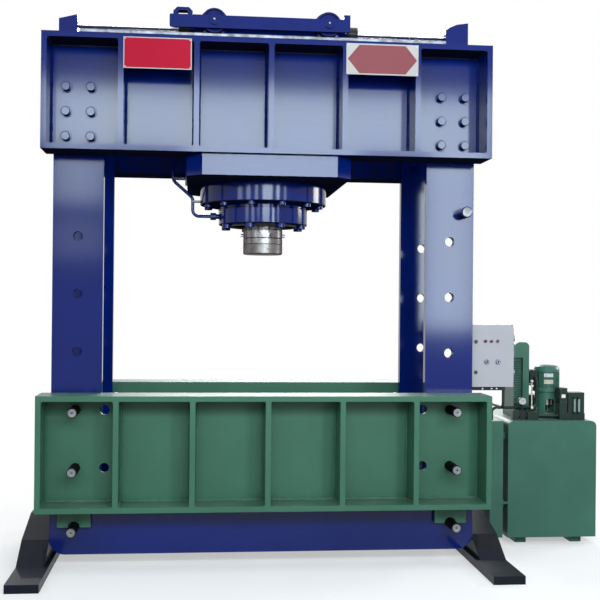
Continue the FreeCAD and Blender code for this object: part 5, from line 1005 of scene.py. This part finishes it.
@dataclass
class PressCylinder:
    """Slab, cylinder and ram."""

    gland_foot: float = 1967.0
    wiper_lip: Profile = (
        (0.0, 213.0), (0.0, 226.0), (-5.0, 226.0), (-9.0, 220.0), (-11.0, 213.5), (-9.0, 212.4),
        (-2.0, 213.0),
    )
    stub: float = 120.0
    hole_x: float = 39.8
    hole_z: float = 1900.0
    plug_head: Profile = ((2.0, 10.5), (-0.5, 10.5), (-1.1, 9.8), (-1.1, 5.5), (1.2, 5.0), (1.2, 0.0))

    def build(self) -> None:
        """Dresses the cylinder and adds the ram's wiper and plug."""
        dress(NAVY, "reaction_slab", "cylinder_barrel", "cylinder_cap", "cylinder_gland", "cylinder_bolts")
        dress(NAVY, "return_pipe")
        dress(PLATED_Z, "ram")
        dress(TURNED_Z, "ram_nose")
        dress(ZINC, "ram_screws")
        self.wiper()
        self.plug()

    def wiper(self) -> None:
        """Black wiper ring round the ram, under the gland."""
        wiper = Shape(RUBBER).turned(self.wiper_lip, [(0.0, 0.0, self.gland_foot)], Axis.Z, closed=True)
        wiper.piece("ram_wiper", Slot.DARK, "carriage")

    def plug(self) -> None:
        """Dark socket plug in the side of the ram's nose."""
        turn = Matrix.Rotation(math.asin(self.hole_x / self.stub), 4, "Z")
        plug = Shape(OXIDE).turned(self.plug_head, [(0.0, -self.stub, self.hole_z)], turn=turn)
        plug.piece("ram_plug", Slot.OXIDE, "ram")


@dataclass
class PowerUnit:
    """Tank, motor, cooler, valves and gauge."""

    motor: Pair = (1870.0, 197.0)
    label_radii: Pair = (82.8, 81.9)
    labels: Sides = ((1034.0, 1058.0), (990.0, 1018.0))
    label_span: Pair = (-30.0, 12.6)
    label_steps: int = 10
    label_edge: float = 0.2
    lid_x: float = 1742.0
    lid_y: Pair = (147.0, 247.0)
    lid_z: Pair = (987.0, 1073.0)
    lid_screw: Profile = ((0.0, 4.4), (-1.2, 4.2), (-2.4, 2.9), (-2.8, 1.4), (-1.6, 1.2), (-1.6, 0.0))
    sight_x: Row = (1989.5, 2017.5)
    sight_seat: Pair = (7.0, 824.0)
    sleeve: Profile = ((0.0, 6.05), (0.0, 7.0), (80.0, 7.0), (80.0, 6.05))
    valve_screw_x: Pair = (1904.0, 1936.0)
    valve_screw_z: Pair = (960.0, 880.0)
    valve_front: float = 17.0
    valve_screw: Profile = ((0.0, 4.5), (-3.4, 4.5), (-4.0, 3.9), (-4.0, 2.4), (-1.8, 2.2), (-1.8, 0.0))
    valve_plate: Sides = ((1907.0, 1933.0), (16.2, 17.0), (910.0, 932.0))
    gauge: Point = (1659.0, 35.0, 888.0)
    gauge_face: Profile = ((-0.05, 22.6), (-0.25, 22.6), (-0.25, 2.4), (-0.05, 2.4))
    gauge_glass: Profile = ((-5.2, 0.0), (-5.2, 22.9), (-6.4, 22.9), (-6.4, 0.0))
    mark_lift: float = 0.25
    mark_thick: float = 0.12
    mark_rim: float = 21.2
    mark_count: int = 50
    mark_start: float = 225.0
    mark_sweep: float = 270.0
    mark_sizes: Sequence[tuple[int, float, float]] = ((10, 15.5, 0.55), (5, 18.2, 0.3), (1, 19.4, 0.16))

    def build(self) -> None:
        """Dresses the power unit and adds its labels, screws, tubes and dial."""
        dress(MACHINE_GREEN, "tank", "side_duct", "cooler_housing", "bell_housing", "motor_housing")
        dress(VALVE_GREEN, "valve_bank", "tank_fittings", "power_conduits", "filler_cap")
        dress(DARK_PAINT, "terminal_box", "pressure_gauge")
        dress(TURNED_Z, "motor_rotor")
        dress(ZINC, "valve_lever")
        dress(BLACK_PLASTIC, "gauge_needle")
        self.motor_labels()
        self.lid_screws()
        self.sight_tubes()
        self.valve_screws()
        self.dial()
        self.dial_marks()
        self.glass()

    def motor_labels(self) -> None:
        """Bare rating plates bent round the motor."""
        start, end = (math.radians(angle) for angle in self.label_span)
        angles = [start + (end - start) * step / self.label_steps for step in range(self.label_steps + 1)]
        bends = list(zip(self.label_radii, (angles, angles[::-1])))
        (x, y), plates = self.motor, Shape()
        for finish, (low, high) in zip((PALE_PLASTIC, LABEL_TAN), self.labels):
            arcs = [(x + r * math.sin(a), y - r * math.cos(a), low) for r, way in bends for a in way]
            plates.use(finish).plate(arcs, (0.0, 0.0, high - low))
        plates.piece("motor_labels", Slot.KNOB, bevel=self.label_edge)

    def lid_screws(self) -> None:
        """Four round-headed screws in the terminal box's lid."""
        feet = [(self.lid_x, y, z) for y in self.lid_y for z in self.lid_z]
        Shape(ZINC).turned(self.lid_screw, feet, Axis.X).piece("terminal_screws", Slot.STEEL)

    def sight_tubes(self) -> None:
        """Pale sleeves of the two sight tubes."""
        feet = [(x, *self.sight_seat) for x in self.sight_x]
        Shape(SIGHT_PALE).turned(self.sleeve, feet, Axis.Z, closed=True).piece("sight_sleeves", Slot.KNOB)

    def valve_screws(self) -> None:
        """Socket screws and a bare plate on the tall valve block."""
        feet = [(x, self.valve_front, z) for x in self.valve_screw_x for z in self.valve_screw_z]
        screws = Shape(OXIDE).turned(self.valve_screw, feet)
        screws.use(ZINC).block(*self.valve_plate).piece("valve_screws", Slot.OXIDE)

    def dial(self) -> None:
        """The gauge's white dial."""
        face = Shape(DIAL_WHITE).turned(self.gauge_face, [self.gauge], closed=True)
        face.piece("gauge_dial", Slot.DIAL)

    def dial_marks(self) -> None:
        """The dial's marks, longer and wider at every fifth and tenth."""
        marks = Shape(BLACK_PLASTIC)
        middle = Vector(self.gauge) - Vector((0.0, self.mark_lift, 0.0))
        for index in range(self.mark_count + 1):
            angle = math.radians(self.mark_start - self.mark_sweep * index / self.mark_count)
            along = Vector((math.cos(angle), 0, math.sin(angle)))
            across = Vector((-along.z, 0, along.x))
            inner, half = next(size for step, *size in self.mark_sizes if index % step == 0)
            corners = [(inner, -half), (self.mark_rim, -half), (self.mark_rim, half), (inner, half)]
            marks.plate([middle + along * a + across * b for a, b in corners], (0, -self.mark_thick, 0))
        marks.piece("gauge_marks", Slot.NEEDLE)

    def glass(self) -> None:
        """The glass over the dial."""
        Shape(GLASS).turned(self.gauge_glass, [self.gauge]).piece("gauge_glass", Slot.DIAL)


@dataclass
class Cabinet:
    """Control cabinet with its door, lamps, buttons and latches."""

    lamp_x: Row = (1306.0, 1343.0, 1380.0)
    lamp_seat: Pair = (-352.0, 1280.0)
    lamp_dome: Profile = ((0.0, 8.6), (-1.0, 8.5), (-2.4, 7.2), (-3.4, 4.8), (-3.8, 2.4), (-3.9, 0.0))
    button_x: Pair = (1315.0, 1384.0)
    button_z: float = 1157.0
    bezel_front: float = -349.0
    bezel: Row = (11.7, 14.3, -1.0, 0.4)
    cap_front: float = -355.0
    cap_face: Profile = ((0.0, 8.8), (-0.5, 8.5), (-0.5, 6.6), (0.3, 5.6), (0.3, 0.0))
    trunk: Sides = ((1234.0, 1424.0), (-318.0, -215.0), (986.0, 1008.0))
    trunk_lid: Sides = ((1238.0, 1420.0), (-319.5, -318.0), (989.0, 1005.0))
    trunk_edge: float = 0.8
    gland_x: Row = (1296.0, 1352.0, 1382.0)
    gland_seat: Pair = (-319.5, 997.0)
    gland_hexagon: Profile = ((0.0, 7.6), (-4.0, 7.6), (-5.0, 6.8))
    gland_nose: Profile = ((-5.0, 5.8), (-10.0, 5.4), (-12.0, 4.2), (-12.0, 0.0))

    def build(self) -> None:
        """Dresses the cabinet and adds its lenses, rings, button faces and trunking."""
        # Painted shade: the box wears the dark colour of its shaded side.
        dress(SHADED_CABINET_BOX, "cabinet_box")
        dress(CABINET_GREY, "cabinet_door")
        dress(BLACK_PLASTIC, "cabinet_latch_upper", "cabinet_latch_lower")
        dress(BLUE_PLASTIC, "cabinet_button_left", "cabinet_button_right")
        dress(PALE_PLASTIC, "cabinet_knob")
        self.lenses()
        self.rings()
        self.trunking()

    def lenses(self) -> None:
        """Dark red lenses of the three lamps."""
        lenses = Shape(LAMP_RED).turned(self.lamp_dome, [(x, *self.lamp_seat) for x in self.lamp_x])
        lenses.piece("lamp_lenses", Slot.SIGN, "door")

    def rings(self) -> None:
        """Grey-blue rings round the buttons, and their faces."""
        feet = [(x, self.bezel_front, self.button_z) for x in self.button_x]
        rings = Shape(BLUE_PLASTIC).ring(*self.bezel, feet)
        rings.piece("button_rings", Slot.BUTTON, "door")
        for side, x in zip(("left", "right"), self.button_x):
            cap = Shape(PALE_PLASTIC).turned(self.cap_face, [(x, self.cap_front, self.button_z)])
            cap.piece(f"button_face_{side}", Slot.BUTTON, f"button_{side}")

    def trunking(self) -> None:
        """Dark cable trunking under the cabinet, with three cable glands on its front."""
        feet = [(x, *self.gland_seat) for x in self.gland_x]
        trunk = Shape(DARK_PAINT).block(*self.trunk).block(*self.trunk_lid).use(ZINC)
        trunk.turned(self.gland_hexagon, feet, sides=6).turned(self.gland_nose, feet)
        trunk.piece("cabinet_trunking", Slot.DARK, bevel=self.trunk_edge)


@dataclass
class SignPlates:
    """The two bare plates on the head."""

    front: float = -644.0
    left: Sides = ((-811.7, -440.7), (2768.0, 2940.0))
    right: Sides = ((415.3, 823.3), (2772.0, 2946.0))
    inset: float = 5.5
    point: float = 196.0
    flat: float = 131.0
    rise: float = 79.0
    film: float = 0.6
    rivet_inset: float = 10.0
    rivet: Profile = ((0.0, 3.2), (-1.2, 3.0), (-2.0, 1.8), (-2.3, 0.0))

    def build(self) -> None:
        """Dresses the plates and adds their bare fields and rivets."""
        dress(SIGN_PALE, "sign_plates")
        self.left_field()
        self.right_field()
        self.rivets()

    @staticmethod
    def narrowed(sides: Sides, by: float) -> list[Pair]:
        """A plate's sides, moved in by a margin."""
        return [(low + by, high - by) for low, high in sides]

    def left_field(self) -> None:
        """The left plate's bare red field."""
        x, z = self.narrowed(self.left, self.inset)
        red = Shape(SIGN_RED).block(x, (self.front - self.film, self.front), z)
        red.piece("sign_left_field", Slot.SIGN)

    def right_field(self) -> None:
        """The right plate's bare rose field, pointed at both ends."""
        x, z = (sum(side) / 2 for side in self.right)
        half = [(-self.point, 0.0), (-self.flat, self.rise), (self.flat, self.rise)]
        corners = half + [(-a, -b) for a, b in half]
        outline = [(x + a, self.front, z + b) for a, b in corners]
        Shape(SIGN_ROSE).plate(outline, (0.0, -self.film, 0.0)).piece("sign_right_field", Slot.SIGN)

    def rivets(self) -> None:
        """Small rivets in the plates' corners."""
        rivets = Shape(ZINC)
        for sides in (self.left, self.right):
            across, up = self.narrowed(sides, self.rivet_inset)
            rivets.turned(self.rivet, [(x, self.front, z) for x in across for z in up])
        rivets.piece("sign_rivets", Slot.STEEL)


def main() -> None:
    """Builds the stage and then every sub-assembly in order."""
    logging.basicConfig(level=logging.INFO, format="%(name)s: %(message)s")
    bpy.context.scene.view_settings.view_transform = "Standard"
    Studio().build()
    for assembly in (PressFrame(), Carriage(), PressCylinder(), PowerUnit(), Cabinet(), SignPlates()):
        LOG.info("building %s", type(assembly).__name__)
        assembly.build()


if __name__ == "__main__":
    main()
